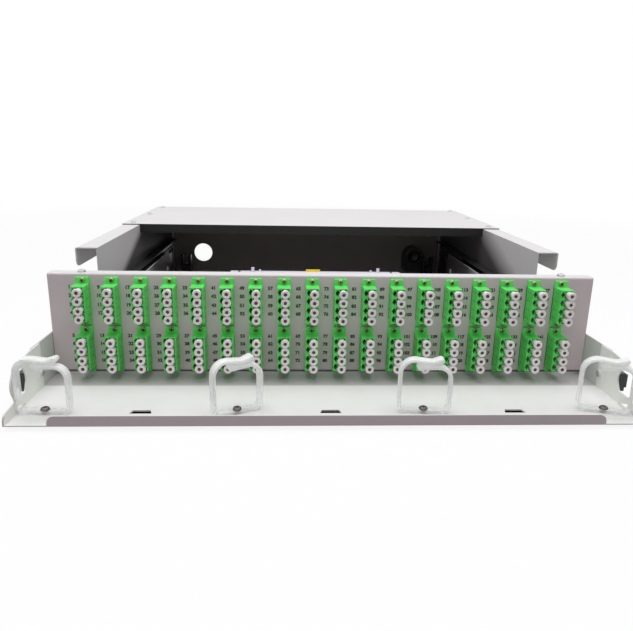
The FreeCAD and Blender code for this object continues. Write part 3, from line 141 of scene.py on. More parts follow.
class Graph:
    """A material's or world's nodes."""

    def __init__(self, tree: bpy.types.NodeTree) -> None:
        """Empty a node tree to build in."""
        self.tree = tree
        self.tree.nodes.clear()

    def add(self, kind: str, inputs: dict | None = None, output: str | int = 0,
            **settings: str | int | bool) -> Wire:
        """Add a node, set it up and feed its sockets.

        Args:
            kind: The node's type.
            inputs: A value or wire for each socket, by name or number.
            output: The output to hand back.
            settings: Properties that are set first.

        Returns:
            The chosen output as a wire.
        """
        node = self.tree.nodes.new(kind)
        for name, value in settings.items():
            setattr(node, name, value)
        self.feed(node, inputs or {})
        return Wire(self, node.outputs[output] if len(node.outputs) else None)

    def feed(self, node: bpy.types.Node, inputs: dict) -> None:
        """Set or link a node's inputs, given by name or number."""
        for name, value in inputs.items():
            if isinstance(value, Wire):
                self.tree.links.new(value.socket, node.inputs[name])
            elif isinstance(value, tuple) and len(value) == 3 and node.inputs[name].type == "RGBA":
                node.inputs[name].default_value = (*value, 1.0)
            else:
                node.inputs[name].default_value = value

    def seen(self) -> Wire:
        """1 for rays from the camera, straight or by way of gloss or glass, and 0 for light."""
        straight, gloss, glass = (self.add("ShaderNodeLightPath", output="Is %s Ray" % kind)
                                  for kind in ("Camera", "Glossy", "Transmission"))
        return (straight + gloss + glass).above(0.0, 1.0)


class Finish(Graph):
    """One material's nodes round a Principled shader."""

    def __init__(self, name: str) -> None:
        """Start a material of this name."""
        self.material = bpy.data.materials.new(name)
        self.material.use_nodes = True
        super().__init__(self.material.node_tree)
        self.place = self.add("ShaderNodeTexCoord", output="Object")

    def noise(self, size_mm: float, detail: float = 2.0, roughness: float = 0.5,
              stretch: Triple = EVEN) -> Wire:
        """Noise whose patches are about a given size.

        Args:
            size_mm: The patches' size.
            detail: Octaves of finer noise.
            roughness: The strength of each finer octave.
            stretch: How many times finer the patches are along each axis.

        Returns:
            The noise, from 0 to 1.
        """
        place = self.place
        if stretch != EVEN:
            place = self.add("ShaderNodeMapping", {"Vector": place, "Scale": stretch})
        return self.add("ShaderNodeTexNoise", {"Vector": place, "Scale": 1.0 / MM / size_mm,
                                               "Detail": detail, "Roughness": roughness})

    def along(self, what: str, direction: Triple) -> Wire:
        """How far the named geometry output, a place or a normal, reaches along a direction."""
        vector = self.add("ShaderNodeNewGeometry", output=what)
        return self.add("ShaderNodeVectorMath", {0: vector, 1: direction}, "Value",
                        operation="DOT_PRODUCT")

    def blend(self, factor: Wire, first: Colour | Wire, second: Colour | Wire,
              kind: str = "MIX") -> Wire:
        """Mix two colours by a factor, or with the kind "MULTIPLY" tint the first by the second."""
        return self.add("ShaderNodeMix", {MIX_FACTOR: factor, MIX_FIRST: first, MIX_SECOND: second},
                        MIX_RESULT, data_type="RGBA", blend_type=kind)

    def bump(self, height: Wire, strength: float, depth_mm: float,
             below: Wire | None = None) -> Wire:
        """Turn a height into a normal.

        Args:
            height: The height, from 0 to 1.
            strength: The share of the effect.
            depth_mm: The real depth of a height of 1.
            below: The normal of a coarser bump underneath.

        Returns:
            The bent normal.
        """
        inputs = {"Height": height, "Strength": strength, "Distance": depth_mm * MM}
        if below is not None:
            inputs["Normal"] = below
        return self.add("ShaderNodeBump", inputs)

    def shader(self, inputs: dict) -> Wire:
        """A Principled shader with the given inputs."""
        return self.add("ShaderNodeBsdfPrincipled", inputs)

    def finish(self, surface: Wire) -> bpy.types.Material:
        """Lead a shader to the output and hand the material back."""
        self.add("ShaderNodeOutputMaterial", {"Surface": surface})
        return self.material


def shade(colour: Colour, factor: float) -> Colour:
    """A colour made lighter or darker, kept between 0 and 1."""
    return tuple(min(1.0, max(0.0, part * factor)) for part in colour)


def grey(level: float) -> Colour:
    """A colour without hue."""
    return (level, level, level)


@dataclass(frozen=True)
class Patch:
    """A tint of painted light and shade on part of a sheet: the faces that look one way, between
    given levels.
    """

    facing: Triple
    tint: Colour
    levels: tuple[Level, ...] = ()

    def mask(self, graph: Finish) -> Wire:
        """1 inside the patch and 0 outside it."""
        share = graph.along("True Normal", self.facing).above(*FACING)
        for direction, start_mm, full_mm in self.levels:
            reach = graph.along("Position", direction)
            share = share * reach.above(start_mm * MM, full_mm * MM)
        return share


@dataclass(frozen=True)
class Look:
    """What one material looks like."""

    name: str
    colour: Colour
    tones: Pair = (1.0, 1.0)
    """The factors of the colour's darker and its lighter tone."""

    def toned(self, graph: Finish, share: Wire) -> Wire:
        """The colour between its two tones."""
        return graph.blend(share, *(shade(self.colour, tone) for tone in self.tones))

    def inputs(self, graph: Finish) -> dict:
        """The shader's inputs."""
        return {"Base Color": self.colour}

    def build(self) -> bpy.types.Material:
        """Make the material."""
        graph = Finish(self.name)
        return graph.finish(graph.shader(self.inputs(graph)))


@dataclass(frozen=True)
class PowderCoat(Look):
    """Baked powder paint on sheet steel: a fine peel, soft mottling, scuffs and patches of painted
    light and shade.
    """

    tones: Pair = (0.965, 1.02)
    roughness: float = 0.42
    specular: float = 0.4
    grain_mm: float = 0.55
    grain_bump: Pair = (0.35, 0.03)
    peel_mm: float = 2.2
    peel_bump: Pair = (0.25, 0.05)
    """Strength, and depth in millimetres, as in every bump below."""
    mottle_mm: float = 14.0
    mottle_dull: float = 0.1
    cloud_mm: float = 90.0
    scuff_mm: float = 17.0
    scuff_stretch: Triple = (1.0, 6.0, 6.0)
    scuff_span: Pair = (0.62, 0.78)
    scuff_tone: float = 0.8
    wear: float = 0.12
    # Tints of painted light and shade, each multiplied into the colour where its mask lies.
    patches: tuple[Patch, ...] = ()

    def inputs(self, graph: Finish) -> dict:
        """The shader's inputs."""
        mottle = graph.noise(self.mottle_mm, 3.0)
        cloud = graph.noise(self.cloud_mm)
        scuff = graph.noise(self.scuff_mm, 6.0, 0.7, self.scuff_stretch).above(*self.scuff_span)
        base = self.toned(graph, (mottle * 0.5 + cloud * 0.5).above(*NOISE_SPAN))
        colour = graph.blend(scuff * self.wear, base, shade(self.colour, self.scuff_tone))
        # Painted light and shade: each patch's tint is multiplied in over its faces.
        for patch in self.patches:
            colour = graph.blend(patch.mask(graph), colour, patch.tint, "MULTIPLY")
        peel = graph.bump(graph.noise(self.peel_mm), *self.peel_bump)
        normal = graph.bump(graph.noise(self.grain_mm, 1.0), *self.grain_bump, peel)
        return {"Base Color": colour, "Normal": normal, "Specular IOR Level": self.specular,
                "Roughness": self.roughness + mottle * self.mottle_dull + scuff * self.wear}


@dataclass(frozen=True)
class Moulding(Look):
    """Moulded plastic: a faint spark-eroded grain, flow clouds and rubbed spots."""

    tones: Pair = (0.92, 1.08)
    roughness: float = 0.4
    grain_mm: float = 0.35
    grain_bump: Pair = (0.3, 0.02)
    cloud_mm: float = 9.0
    rub_mm: float = 3.6
    rub_span: Pair = (0.45, 0.75)
    rub_rough: float = 0.6
    rub_dull: float = 0.12
    glow: float = 0.0
    glow_mm: Triple = EVEN

    def inputs(self, graph: Finish) -> dict:
        """The shader's inputs."""
        cloud = graph.noise(self.cloud_mm, 3.0)
        rub = graph.noise(self.rub_mm, 4.0, self.rub_rough).above(*self.rub_span)
        return {"Base Color": self.toned(graph, cloud.above(*NOISE_SPAN)),
                "Normal": graph.bump(graph.noise(self.grain_mm), *self.grain_bump),
                "Roughness": self.roughness + rub * self.rub_dull,
                "Subsurface Weight": self.glow, "Subsurface Scale": 1.0,
                "Subsurface Radius": tuple(part * MM for part in self.glow_mm)}


@dataclass(frozen=True)
class Milky(Moulding):
    """Milky, half-clear plastic of the cable rings, with flow marks, fine rub lines and a faint
    painted glow that lifts its shade.
    """

    bending: float = 1.46
    foot_alpha: float = 0.32
    added_alpha: float = 0.45
    thickening_mm: Pair = (8.0, 26.0)
    """The heights where the plastic starts to read as thicker and where it is thickest."""
    # Strength of the painted glow, in the plastic's own colour.
    shine: float = 0.09

    def inputs(self, graph: Finish) -> dict:
        """The shader's inputs."""
        inputs = super().inputs(graph)
        height = graph.along("Position", UP).above(*(mm * MM for mm in self.thickening_mm))
        # Painted light: the rings glow faintly in their own colour.
        return {**inputs, "IOR": self.bending, "Alpha": self.foot_alpha + height * self.added_alpha,
                "Emission Color": inputs["Base Color"], "Emission Strength": self.shine}


@dataclass(frozen=True)
class Plated(Look):
    """Bare or plated metal: drawn lines, clouded lustre and dulled patches."""

    tones: Pair = (0.86, 1.06)
    roughness: float = 0.3
    line_mm: float = 11.0
    line_stretch: Triple = (1.0, 30.0, 30.0)
    line_bump: Pair = (0.2, 0.02)
    cloud_mm: float = 3.0
    cloud_span: Pair = (0.35, 0.75)
    dull: float = 0.25

    def inputs(self, graph: Finish) -> dict:
        """The shader's inputs."""
        lines = graph.noise(self.line_mm, 4.0, 0.6, self.line_stretch)
        cloud = graph.noise(self.cloud_mm, 4.0, 0.6)
        return {"Base Color": self.toned(graph, cloud.above(*self.cloud_span)), "Metallic": 1.0,
                "Normal": graph.bump(lines, *self.line_bump),
                "Roughness": self.roughness + cloud * self.dull}


@dataclass(frozen=True)
class Ink(Look):
    """Screen-printed ink: flat black with thin spots."""

    tones: Pair = (1.0, 3.0)
    roughness: float = 0.5
    thin_mm: float = 0.5
    thin_span: Pair = (0.45, 0.75)
    thin_dull: float = 0.2

    def inputs(self, graph: Finish) -> dict:
        """The shader's inputs."""
        thin = graph.noise(self.thin_mm, 3.0)
        return {"Base Color": self.toned(graph, thin.above(*self.thin_span)),
                "Roughness": self.roughness + thin * self.thin_dull}


WHITE_PAINT: Colour = (0.70, 0.685, 0.69)
PAINT = PowderCoat("powder_paint", WHITE_PAINT)
BLACK_STEEL = PowderCoat("black_slide_coat", (0.018, 0.018, 0.02), roughness=0.3, grain_mm=0.8)
BRIGHT_STEEL = Plated("bright_steel", (0.6, 0.6, 0.61), roughness=0.22)
BRASS = Plated("brass", (0.34, 0.29, 0.19), roughness=0.34)
DARK_SCREW = Plated("dull_screw", (0.16, 0.14, 0.13), roughness=0.4)
# Painted shade in the cross recesses of the adapter screws.
RECESS_SHADE = Plated("screw_recess", (0.03, 0.026, 0.02), roughness=0.5)
GREEN = Moulding("green_adapter", (0.115, 0.75, 0.14), roughness=0.34, glow=0.15,
                 glow_mm=(0.3, 1.2, 0.5))
# Painted shade inside the adapters' catch windows.
WINDOW_SHADE = Moulding("window_shade", (0.012, 0.06, 0.02), roughness=0.6)
CAP = Moulding("dust_cap", (0.86, 0.79, 0.81), glow=0.5, glow_mm=(2.0, 1.5, 1.4),
             tones=(0.97, 1.03))
# Painted shade down the dust caps' bores.
BORE_SHADE = Moulding("bore_shade", (0.10, 0.055, 0.05), roughness=0.7)
CERAMIC = Moulding("ceramic", (0.85, 0.84, 0.8), roughness=0.15, tones=(0.98, 1.02))
SPLICE = Moulding("splice_shell", (0.78, 0.75, 0.86), roughness=0.35, glow=0.2,
                  glow_mm=(1.5, 1.5, 2.0), tones=(0.97, 1.03))
YELLOW = Moulding("yellow_tag", (0.95, 0.70, 0.03), roughness=0.45)
BLACK_PLASTIC = Moulding("black_moulding", (0.014, 0.014, 0.015), roughness=0.36)
RING = Milky("milky_ring", (0.915, 0.92, 0.91), (0.93, 1.0), 0.34, grain_mm=0.8, cloud_mm=7.0,
             grain_bump=(0.25, 0.03), rub_mm=1.1, rub_span=(0.5, 0.8), rub_rough=0.65,
             rub_dull=0.15, glow=1.0, glow_mm=(4.0, 4.0, 4.0))
PRINT_INK = Ink("print_ink", (0.012, 0.012, 0.014))

SLANT: Triple = (0.0, 0.37, -1.0)
# The way down from the slanting edge of the cover's shadow, which is painted on the side walls.
"""The way down from the slanting edge of the cover's shadow on the side walls."""
# Painted shadow: the dark tint of wall faces under the cover.
PAINTED_COVER_SHADOW: Colour = (0.11, 0.105, 0.105)
# Painted highlight: the tint that lightens the inner face of the flange's lip.
PAINTED_LIP_HIGHLIGHT: Colour = (1.34, 1.36, 1.35)
WALL_FACE_MM = (-186.0, -185.3)
LIP_FACE_MM = (187.0, 188.0)
OWN_SIDE_MM = (0.0, 10.0)
# The height below which the shelf lip's front face takes its painted shade.
SHELF_LIP_TOP: Level = (DOWN, -12.5, -11.5)
# The panel's foot, where a thin line of painted shadow lies in the gap above the shelf.
PANEL_FOOT: Level = (DOWN, -6.4, -5.8)
# Where the cover's painted shadow starts and where it is full on the drawer's walls.
BEHIND_COVER_EDGE: Level = (BACK, -90.0, -20.0)


def side_wall(inward: Triple, outward: Triple, shadow_mm: Pair) -> list[Patch]:
    """One side of the case: the cover's shadow painted on the wall and a highlight painted on the
    inside of the lip.
    """
    levels = ((SLANT, *shadow_mm), (inward, *WALL_FACE_MM), (outward, *OWN_SIDE_MM))
    return [Patch(inward, PAINTED_COVER_SHADOW, levels),
            Patch(inward, PAINTED_LIP_HIGHLIGHT, ((outward, *LIP_FACE_MM),))]


def both_sides(tint: Colour, *levels: Level) -> list[Patch]:
    """One tint for the faces that look left and for those that look right."""
    return [Patch(side, tint, levels) for side in (LEFT, RIGHT)]


def painted(name: str, *patches: Patch, colour: Colour = WHITE_PAINT) -> PowderCoat:
    """White powder paint with patches of its own."""
    return PowderCoat(name, colour, patches=patches)


# The case's shell: the cover's painted shadow on both inner walls and a painted highlight inside
# both lips.
SHELL_PAINT = painted("shell_paint", *side_wall(RIGHT, LEFT, (-92.0, -81.0)),
                      *side_wall(LEFT, RIGHT, (-108.0, -78.0)))
# Shelf paint: a lighter copy of the white paint as painted light, painted shade on the lip's front
# face and painted light on both cheek sides.
SHELF_PAINT = painted("shelf_paint", Patch(FRONT, (0.73, 0.625, 0.665), (SHELF_LIP_TOP,)),
                      *both_sides((1.22, 1.22, 1.2)), colour=(0.77, 0.765, 0.76))
# Tray paint: the panel's painted shadow on the faces that look up, and the cover's painted shadow
# on its walls behind the cover's edge.
TRAY_PAINT = painted("tray_paint", Patch(UP, (0.74, 0.725, 0.73)),
                     *both_sides(PAINTED_COVER_SHADOW, BEHIND_COVER_EDGE))
# Panel paint: painted shade on the front face, tinted pink against the green light thrown from the
# adapters, and a painted shadow line at the foot.
PANEL_PAINT = painted("panel_paint", Patch(FRONT, (0.98, 0.84, 0.90)),
                      Patch(FRONT, (0.2, 0.19, 0.19), (PANEL_FOOT,)))
# Rear wall paint: painted shade on its inner face, the one that looks front.
REAR_PAINT = painted("rear_wall_paint", Patch(FRONT, (0.36, 0.32, 0.31)))
# Cover paint: nearly black painted shade on the faces that look front, such as the hem.
COVER_PAINT = painted("cover_paint", Patch(FRONT, (0.008, 0.007, 0.007)))
# Painted screws: painted shade on the heads that look left or right.
SCREW_PAINT = painted("painted_screws", *both_sides((0.55, 0.55, 0.56)))

SHEET_EDGE_MM = 0.25
DRESSINGS: tuple[tuple[str, float, Look], ...] = (
    ("chassis_shell", SHEET_EDGE_MM, SHELL_PAINT),
    ("rear_wall", SHEET_EDGE_MM, REAR_PAINT),
    ("top_cover", SHEET_EDGE_MM, COVER_PAINT),
    ("drawer_tray", SHEET_EDGE_MM, TRAY_PAINT),
    ("adapter_panel", SHEET_EDGE_MM, PANEL_PAINT),
    ("front_shelf", SHEET_EDGE_MM, SHELF_PAINT),
    ("panel_brackets", SHEET_EDGE_MM, PAINT),
    ("case_screws", 0.0, PAINT),
    ("drawer_screws", 0.0, SCREW_PAINT),
    ("ring_screws", 0.0, DARK_SCREW),
    ("adapter_screws adapter_nuts", 0.0, BRASS),
    ("alignment_sleeves", 0.0, CERAMIC),
    ("slide_outer_left slide_middle_left slide_inner_left", 0.3, BLACK_STEEL),
    ("slide_outer_right slide_middle_right slide_inner_right", 0.3, BLACK_STEEL),
    ("slide_cages_left slide_cages_right", 0.0, BRIGHT_STEEL),
    ("latch_spring_left latch_spring_right", 0.0, BRIGHT_STEEL),
    ("latch_housings latch_bolt_left latch_bolt_right", 0.4, BLACK_PLASTIC),
    ("cable_inlet cable_anchors", 0.6, BLACK_PLASTIC),
    ("splice_stand splice_lid", 0.3, SPLICE),
    ("splice_tray_1 splice_tray_2 splice_tray_3 splice_tray_4", 0.3, SPLICE),
    ("splice_tag", 0.3, YELLOW),
)
"""Carried-over nodes, the radius of their softened edges in millimetres, and their look."""


class Finisher:
    """Makes each look's material once and puts it on pieces and carried-over nodes."""

    def __init__(self, nodes: dict[str, bpy.types.Object]) -> None:
        """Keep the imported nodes, by name, and start with no materials."""
        self.nodes = nodes
        self.made: dict[str, bpy.types.Material] = {}

    def coat(self, obj: bpy.types.Object, look: Look) -> None:
        """Put a look's material, made on first use, on all of an object's slots."""
        if look.name not in self.made:
            self.made[look.name] = look.build()
        material = self.made[look.name]
        if not obj.material_slots:
            obj.data.materials.append(material)
        for place in obj.material_slots:
            place.material = material

    def dress(self, names: str, edge_mm: float, look: Look) -> None:
        """Finish carried-over nodes.

        Args:
            names: The nodes, with spaces between them.
            edge_mm: The radius of their softened edges, or 0 for none.
            look: Their look.
        """
        for name in names.split():
            self.coat(self.nodes[name], look)
            if edge_mm:
                soften(self.nodes[name], edge_mm)
            LOG.info("dressed %s", name)

    def add(self, name: str, mesh: Mesh, look: Look, slot: Slot, stands_for: Sequence[str] = (),
            body: str = Body.DRAWER.value, offset: Vector = DRAWER_PLACE) -> bpy.types.Object:
        """Make a new piece and join it to its body.

        Args:
            name: The piece's name.
            mesh: Its mesh in millimetres, which is freed.
            look: Its look.
            slot: Its material slot; not used.
            stands_for: The nodes that it replaces.
            body: The body that it rides on.
            offset: Where the mesh is measured from, in millimetres.

        Returns:
            The piece.
        """
        piece = new_object(name, mesh, offset)
        self.coat(piece, look)
        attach(piece, body)
        if stands_for:
            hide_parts(*stands_for)
        LOG.info("placed %s on %s", name, body)
        return piece


def soften(obj: bpy.types.Object, edge_mm: float, angle: float = 40.0) -> None:
    """Round an object's sharp edges with a bevel that keeps its flat faces flat.

    Args:
        obj: The mesh object.
        edge_mm: The edge radius.
        angle: The least angle between faces that counts as an edge, in degrees.
    """
    bevel = obj.modifiers.new("edges", "BEVEL")
    bevel.width = edge_mm * MM
    bevel.segments = EDGE_STEPS
    bevel.limit_method = "ANGLE"
    bevel.angle_limit = math.radians(angle)
    bevel.use_clamp_overlap = True
    bevel.harden_normals = True


def new_object(name: str, mesh: Mesh, offset: Vector) -> bpy.types.Object:
    """Turn a mesh drawn in millimetres into an object.

    Args:
        name: The object's name.
        mesh: The mesh, which is freed.
        offset: Where its own origin stands, in millimetres.

    Returns:
        The linked object.
    """
    place = Matrix.Scale(MM, 4) @ Matrix.Translation(offset)
    bmesh.ops.transform(mesh, matrix=place, verts=mesh.verts)
    bmesh.ops.recalc_face_normals(mesh, faces=mesh.faces)
    data = bpy.data.meshes.new(name)
    mesh.to_mesh(data)
    mesh.free()
    data.shade_smooth()
    obj = bpy.data.objects.new(name, data)
    bpy.context.collection.objects.link(obj)
    return obj


def copy_into(target: Mesh, source: Mesh, matrix: Matrix) -> None:
    """Add a moved copy of one mesh to another."""
    spots = [target.verts.new(matrix @ vertex.co) for vertex in source.verts]
    source.verts.index_update()
    for face in source.faces:
        target.faces.new([spots[vertex.index] for vertex in face.verts])


def bridge(mesh: Mesh, low: Sequence[Vert], high: Sequence[Vert]) -> None:
    """Join two closed rows of points with faces, which are triangles where a row is one point."""
    for index in range(len(low)):
        after = (index + 1) % len(low)
        corners = (low[index], low[after], high[after], high[index])
        mesh.faces.new(list(dict.fromkeys(corners)))


def lathe(profile: Sequence[Pair], steps: int) -> Mesh:
    """Turn a profile of (radius, height) points about the Z axis.

    Args:
        profile: The points, from one end on the axis to the other.
        steps: The facets round the axis.

    Returns:
        A closed mesh in the profile's units.
    """
    mesh = bmesh.new()
    turns = [2 * math.pi * index / steps for index in range(steps)]
    rows: list[list[Vert]] = []
    for radius, height in profile:
        if radius < ON_AXIS_MM:
            rows.append([mesh.verts.new((0.0, 0.0, height))] * steps)
            continue
        rows.append([mesh.verts.new((radius * math.cos(turn), radius * math.sin(turn), height))
                     for turn in turns])
    for low, high in zip(rows, rows[1:]):
        bridge(mesh, low, high)
    return mesh


def around(middle: float, *reaches: float) -> set[float]:
    """The values at the given distances on both sides of a middle."""
    return {middle + side * reach for reach in reaches for side in (-1.0, 1.0)}


def smooth_profile(points: Sequence[Pair], radius: float) -> list[Pair]:
    """Round the inner corners of a profile with short arcs.

    Args:
        points: The profile's points.
        radius: The arc's setback on each side of a corner.

    Returns:
        The rounded profile.
    """
    result = [points[0]]
    for before, here, after in zip(points, points[1:], points[2:]):
        spot = Vector(here)
        back = Vector(before) - spot
        ahead = Vector(after) - spot
        reach = min(radius, back.length * LONGEST_SETBACK, ahead.length * LONGEST_SETBACK)
        start = spot + back.normalized() * reach
        finish = spot + ahead.normalized() * reach
        for index in range(ARC_STEPS + 1):
            share = index / ARC_STEPS
            point = start.lerp(spot, share).lerp(spot.lerp(finish, share), share)
            result.append((point.x, point.y))
    result.append(points[-1])
    return result


@dataclass
class Adapters:
    """Green adapters: an ear plate, a four-port body and its keyways, in 18 columns of two."""

    columns: int = 18
    column_pitch_mm: float = 20.75
    row_heights_mm: Pair = (19.55, 56.35)
    half_width_mm: float = 4.75
    half_ear_mm: float = 18.0
    half_body_mm: float = 12.9
    front_mm: float = 13.5
    back_mm: float = 12.0
    back_inset_mm: Pair = (0.1, 0.2)
    back_port_mm: float = 2.0
    ear_mm: float = 2.0
    ear_radius_mm: float = 1.2
    edge_mm: float = 0.18
    edge_angle: float = 60.0
    ports_mm: tuple[float, ...] = (-9.7, -3.45, 3.45, 9.7)
    port_shift_mm: float = 1.0
    port_half_mm: float = 2.6
    keyway_mm: float = -2.95
    keyway_arms_mm: tuple[Pair, Pair] = ((1.4, 0.9), (0.8, 2.1))
    """Half the width and half the height of both arms of a keyway's cross."""
    screw_mm: float = 15.45
    head_mm: float = -2.74
    cross_mm: Triple = (1.25, 0.3, 0.26)
    """Half the size of one arm of a screw's cross recess."""
    screw_turn: float = 0.9
    window_mm: float = 0.42
    window_raise_mm: float = 0.06
    window_depths_mm: Pair = (4.6, 8.4)

    def column_x(self, index: int) -> float:
        """The middle of one column, in millimetres."""
        return (index - (self.columns - 1) / 2) * self.column_pitch_mm

    def spots(self, rows: Sequence[int]) -> list[Vector]:
        """The middle of every port of the given rows, in millimetres from the drawer's place."""
        return [Vector((self.column_x(column) + self.port_shift_mm, 0.0,
                        self.row_heights_mm[row] + port))
                for column in range(self.columns) for row in rows for port in self.ports_mm]

    def in_port(self, x: float, z: float) -> bool:
        """Whether a point lies in the opening of a port."""
        return abs(x - self.port_shift_mm) < self.port_half_mm and any(
            abs(z - port) < self.port_half_mm for port in self.ports_mm)

    def in_keyway(self, x: float, z: float) -> bool:
        """Whether a point lies in the cross-shaped keyway beside a port."""
        return any(abs(x - self.keyway_mm) < wide and abs(z - port) < high
                   for port in self.ports_mm for wide, high in self.keyway_arms_mm)

    def front_depth(self, x: float, z: float) -> float:
        """How far in front of the panel the adapter's face stands at a point."""
        if abs(z) > self.half_body_mm or self.in_port(x, z) or self.in_keyway(x, z):
            return self.ear_mm
        return self.front_mm

    def back_depth(self, x: float, z: float) -> float:
        """How far behind the panel's face the adapter reaches at a point."""
        inset_x, inset_z = self.back_inset_mm
        if abs(z) > self.half_body_mm - inset_z or abs(x) > self.half_width_mm - inset_x:
            return 0.0
        return self.back_port_mm if self.in_port(x, z) else self.back_mm

    def blank(self) -> Mesh:
        """One adapter about its own middle: two stepped faces joined round the edge."""
        inset_x, inset_z = self.back_inset_mm
        arms_x, arms_z = zip(*self.keyway_arms_mm)
        xs = around(0.0, self.half_width_mm, self.half_width_mm - inset_x)
        xs |= around(self.port_shift_mm, self.port_half_mm) | around(self.keyway_mm, *arms_x)
        zs = around(0.0, self.half_ear_mm, self.half_body_mm, self.half_body_mm - inset_z)
        for port in self.ports_mm:
            zs |= around(port, self.port_half_mm, *arms_z)
        mesh = bmesh.new()
        for facing, depth in ((-1.0, self.front_depth), (1.0, self.back_depth)):
            self.stepped_face(mesh, sorted(xs), sorted(zs), facing, depth)
        bmesh.ops.remove_doubles(mesh, verts=mesh.verts, dist=SAME_MM)
        bmesh.ops.recalc_face_normals(mesh, faces=mesh.faces)
        bmesh.ops.dissolve_limit(mesh, angle_limit=FLAT_ANGLE, verts=mesh.verts, edges=mesh.edges)
        self.round_ears(mesh)
        return mesh

    def stepped_face(self, mesh: Mesh, xs: Sequence[float], zs: Sequence[float],
                     facing: float, depth: Callable[[float, float], float]) -> None:
        """Add one side of the adapter as flat cells and the walls between them.

        Args:
            mesh: The mesh to add to.
            xs: The cells' limits along X.
            zs: The cells' limits along Z.
            facing: -1 for the front and 1 for the back.
            depth: The depth at a point.
        """
        def level(column: int, row: int) -> float:
            """One cell's Y, or 0 outside the adapter."""
            if not (0 <= column < len(xs) - 1 and 0 <= row < len(zs) - 1):
                return 0.0
            return facing * depth((xs[column] + xs[column + 1]) / 2, (zs[row] + zs[row + 1]) / 2)

        def face(corners: Sequence[Triple]) -> None:
            """Add one flat face."""
            mesh.faces.new([mesh.verts.new(corner) for corner in corners])

        for column in range(len(xs) - 1):
            for row in range(len(zs) - 1):
                y = level(column, row)
                x0, x1, z0, z1 = xs[column], xs[column + 1], zs[row], zs[row + 1]
                face([(x0, y, z0), (x1, y, z0), (x1, y, z1), (x0, y, z1)])
        cells = {level(column, row) for column in range(len(xs)) for row in range(len(zs))}
        levels = sorted(cells | {0.0})

        def spans(one: float, other: float) -> list[Pair]:
            """The parts of a wall between two depths, split where other walls' ends meet it."""
            inner = [y for y in levels if min(one, other) <= y <= max(one, other)]
            return list(zip(inner, inner[1:]))

        for column in range(len(xs)):
            for row in range(len(zs) - 1):
                x, z0, z1 = xs[column], zs[row], zs[row + 1]
                for near, far in spans(level(column - 1, row), level(column, row)):
                    face([(x, near, z0), (x, far, z0), (x, far, z1), (x, near, z1)])
        for column in range(len(xs) - 1):
            for row in range(len(zs)):
                z, x0, x1 = zs[row], xs[column], xs[column + 1]
                for near, far in spans(level(column, row - 1), level(column, row)):
                    face([(x0, near, z), (x1, near, z), (x1, far, z), (x0, far, z)])

    def round_ears(self, mesh: Mesh) -> None:
        """Round the four upright corners of the ear plate."""
        corners = [edge for edge in mesh.edges
                   if all(abs(abs(vertex.co.x) - self.half_width_mm) < NEAR_MM
                          and abs(abs(vertex.co.z) - self.half_ear_mm) < NEAR_MM
                          for vertex in edge.verts)]
        bmesh.ops.bevel(mesh, geom=corners, offset=self.ear_radius_mm, segments=4, profile=0.5,
                        affect="EDGES")

    def build(self, finisher: Finisher) -> None:
        """Place every column, with its marks."""
        blank = self.blank()
        for column in range(self.columns):
            mesh = bmesh.new()
            for height in self.row_heights_mm:
                place = Matrix.Translation((self.column_x(column), 0.0, height))
                copy_into(mesh, blank, place)
            piece = finisher.add("adapters_%02d" % (column + 1), mesh, GREEN, Slot.GREEN,
                                 ["adapter_column_%02d" % (column + 1)])
            soften(piece, self.edge_mm, self.edge_angle)
        blank.free()
        self.cross_recesses(finisher)
        self.side_windows(finisher)

    def side_windows(self, finisher: Finisher) -> None:
        """Mark the small catch windows in both sides of every adapter, two beside each port, as
        dark boxes of painted shade.
        """
        mesh = bmesh.new()
        size = Matrix.Diagonal((self.window_raise_mm, self.window_mm, self.window_mm, 1.0))
        for spot in self.spots((0, 1)):
            middle = spot.x - self.port_shift_mm
            for side in (-self.half_width_mm, self.half_width_mm):
                for depth in self.window_depths_mm:
                    place = Matrix.Translation((middle + side, -depth, spot.z))
                    bmesh.ops.create_cube(mesh, size=2.0, matrix=place @ size)
        finisher.add("side_windows", mesh, WINDOW_SHADE, Slot.GREEN)

    def cross_recesses(self, finisher: Finisher) -> None:
        """Mark the cross recess in the head of every adapter screw with a cross of painted shade,
        each turned its own way.
        """
        mesh = bmesh.new()
        for column in range(self.columns):
            for height in self.row_heights_mm:
                spin = Matrix.Rotation(column * self.screw_turn + height, 4, "Y")
                for side in (-self.screw_mm, self.screw_mm):
                    spot = Vector((self.column_x(column), self.head_mm, height + side))
                    for size in (self.cross_mm, self.cross_mm[::-1]):
                        box = Matrix.Translation(spot) @ spin @ Matrix.Diagonal((*size, 1.0))
                        bmesh.ops.create_cube(mesh, size=2.0, matrix=box)
        finisher.add("recess_shades", mesh, RECESS_SHADE, Slot.BRASS)


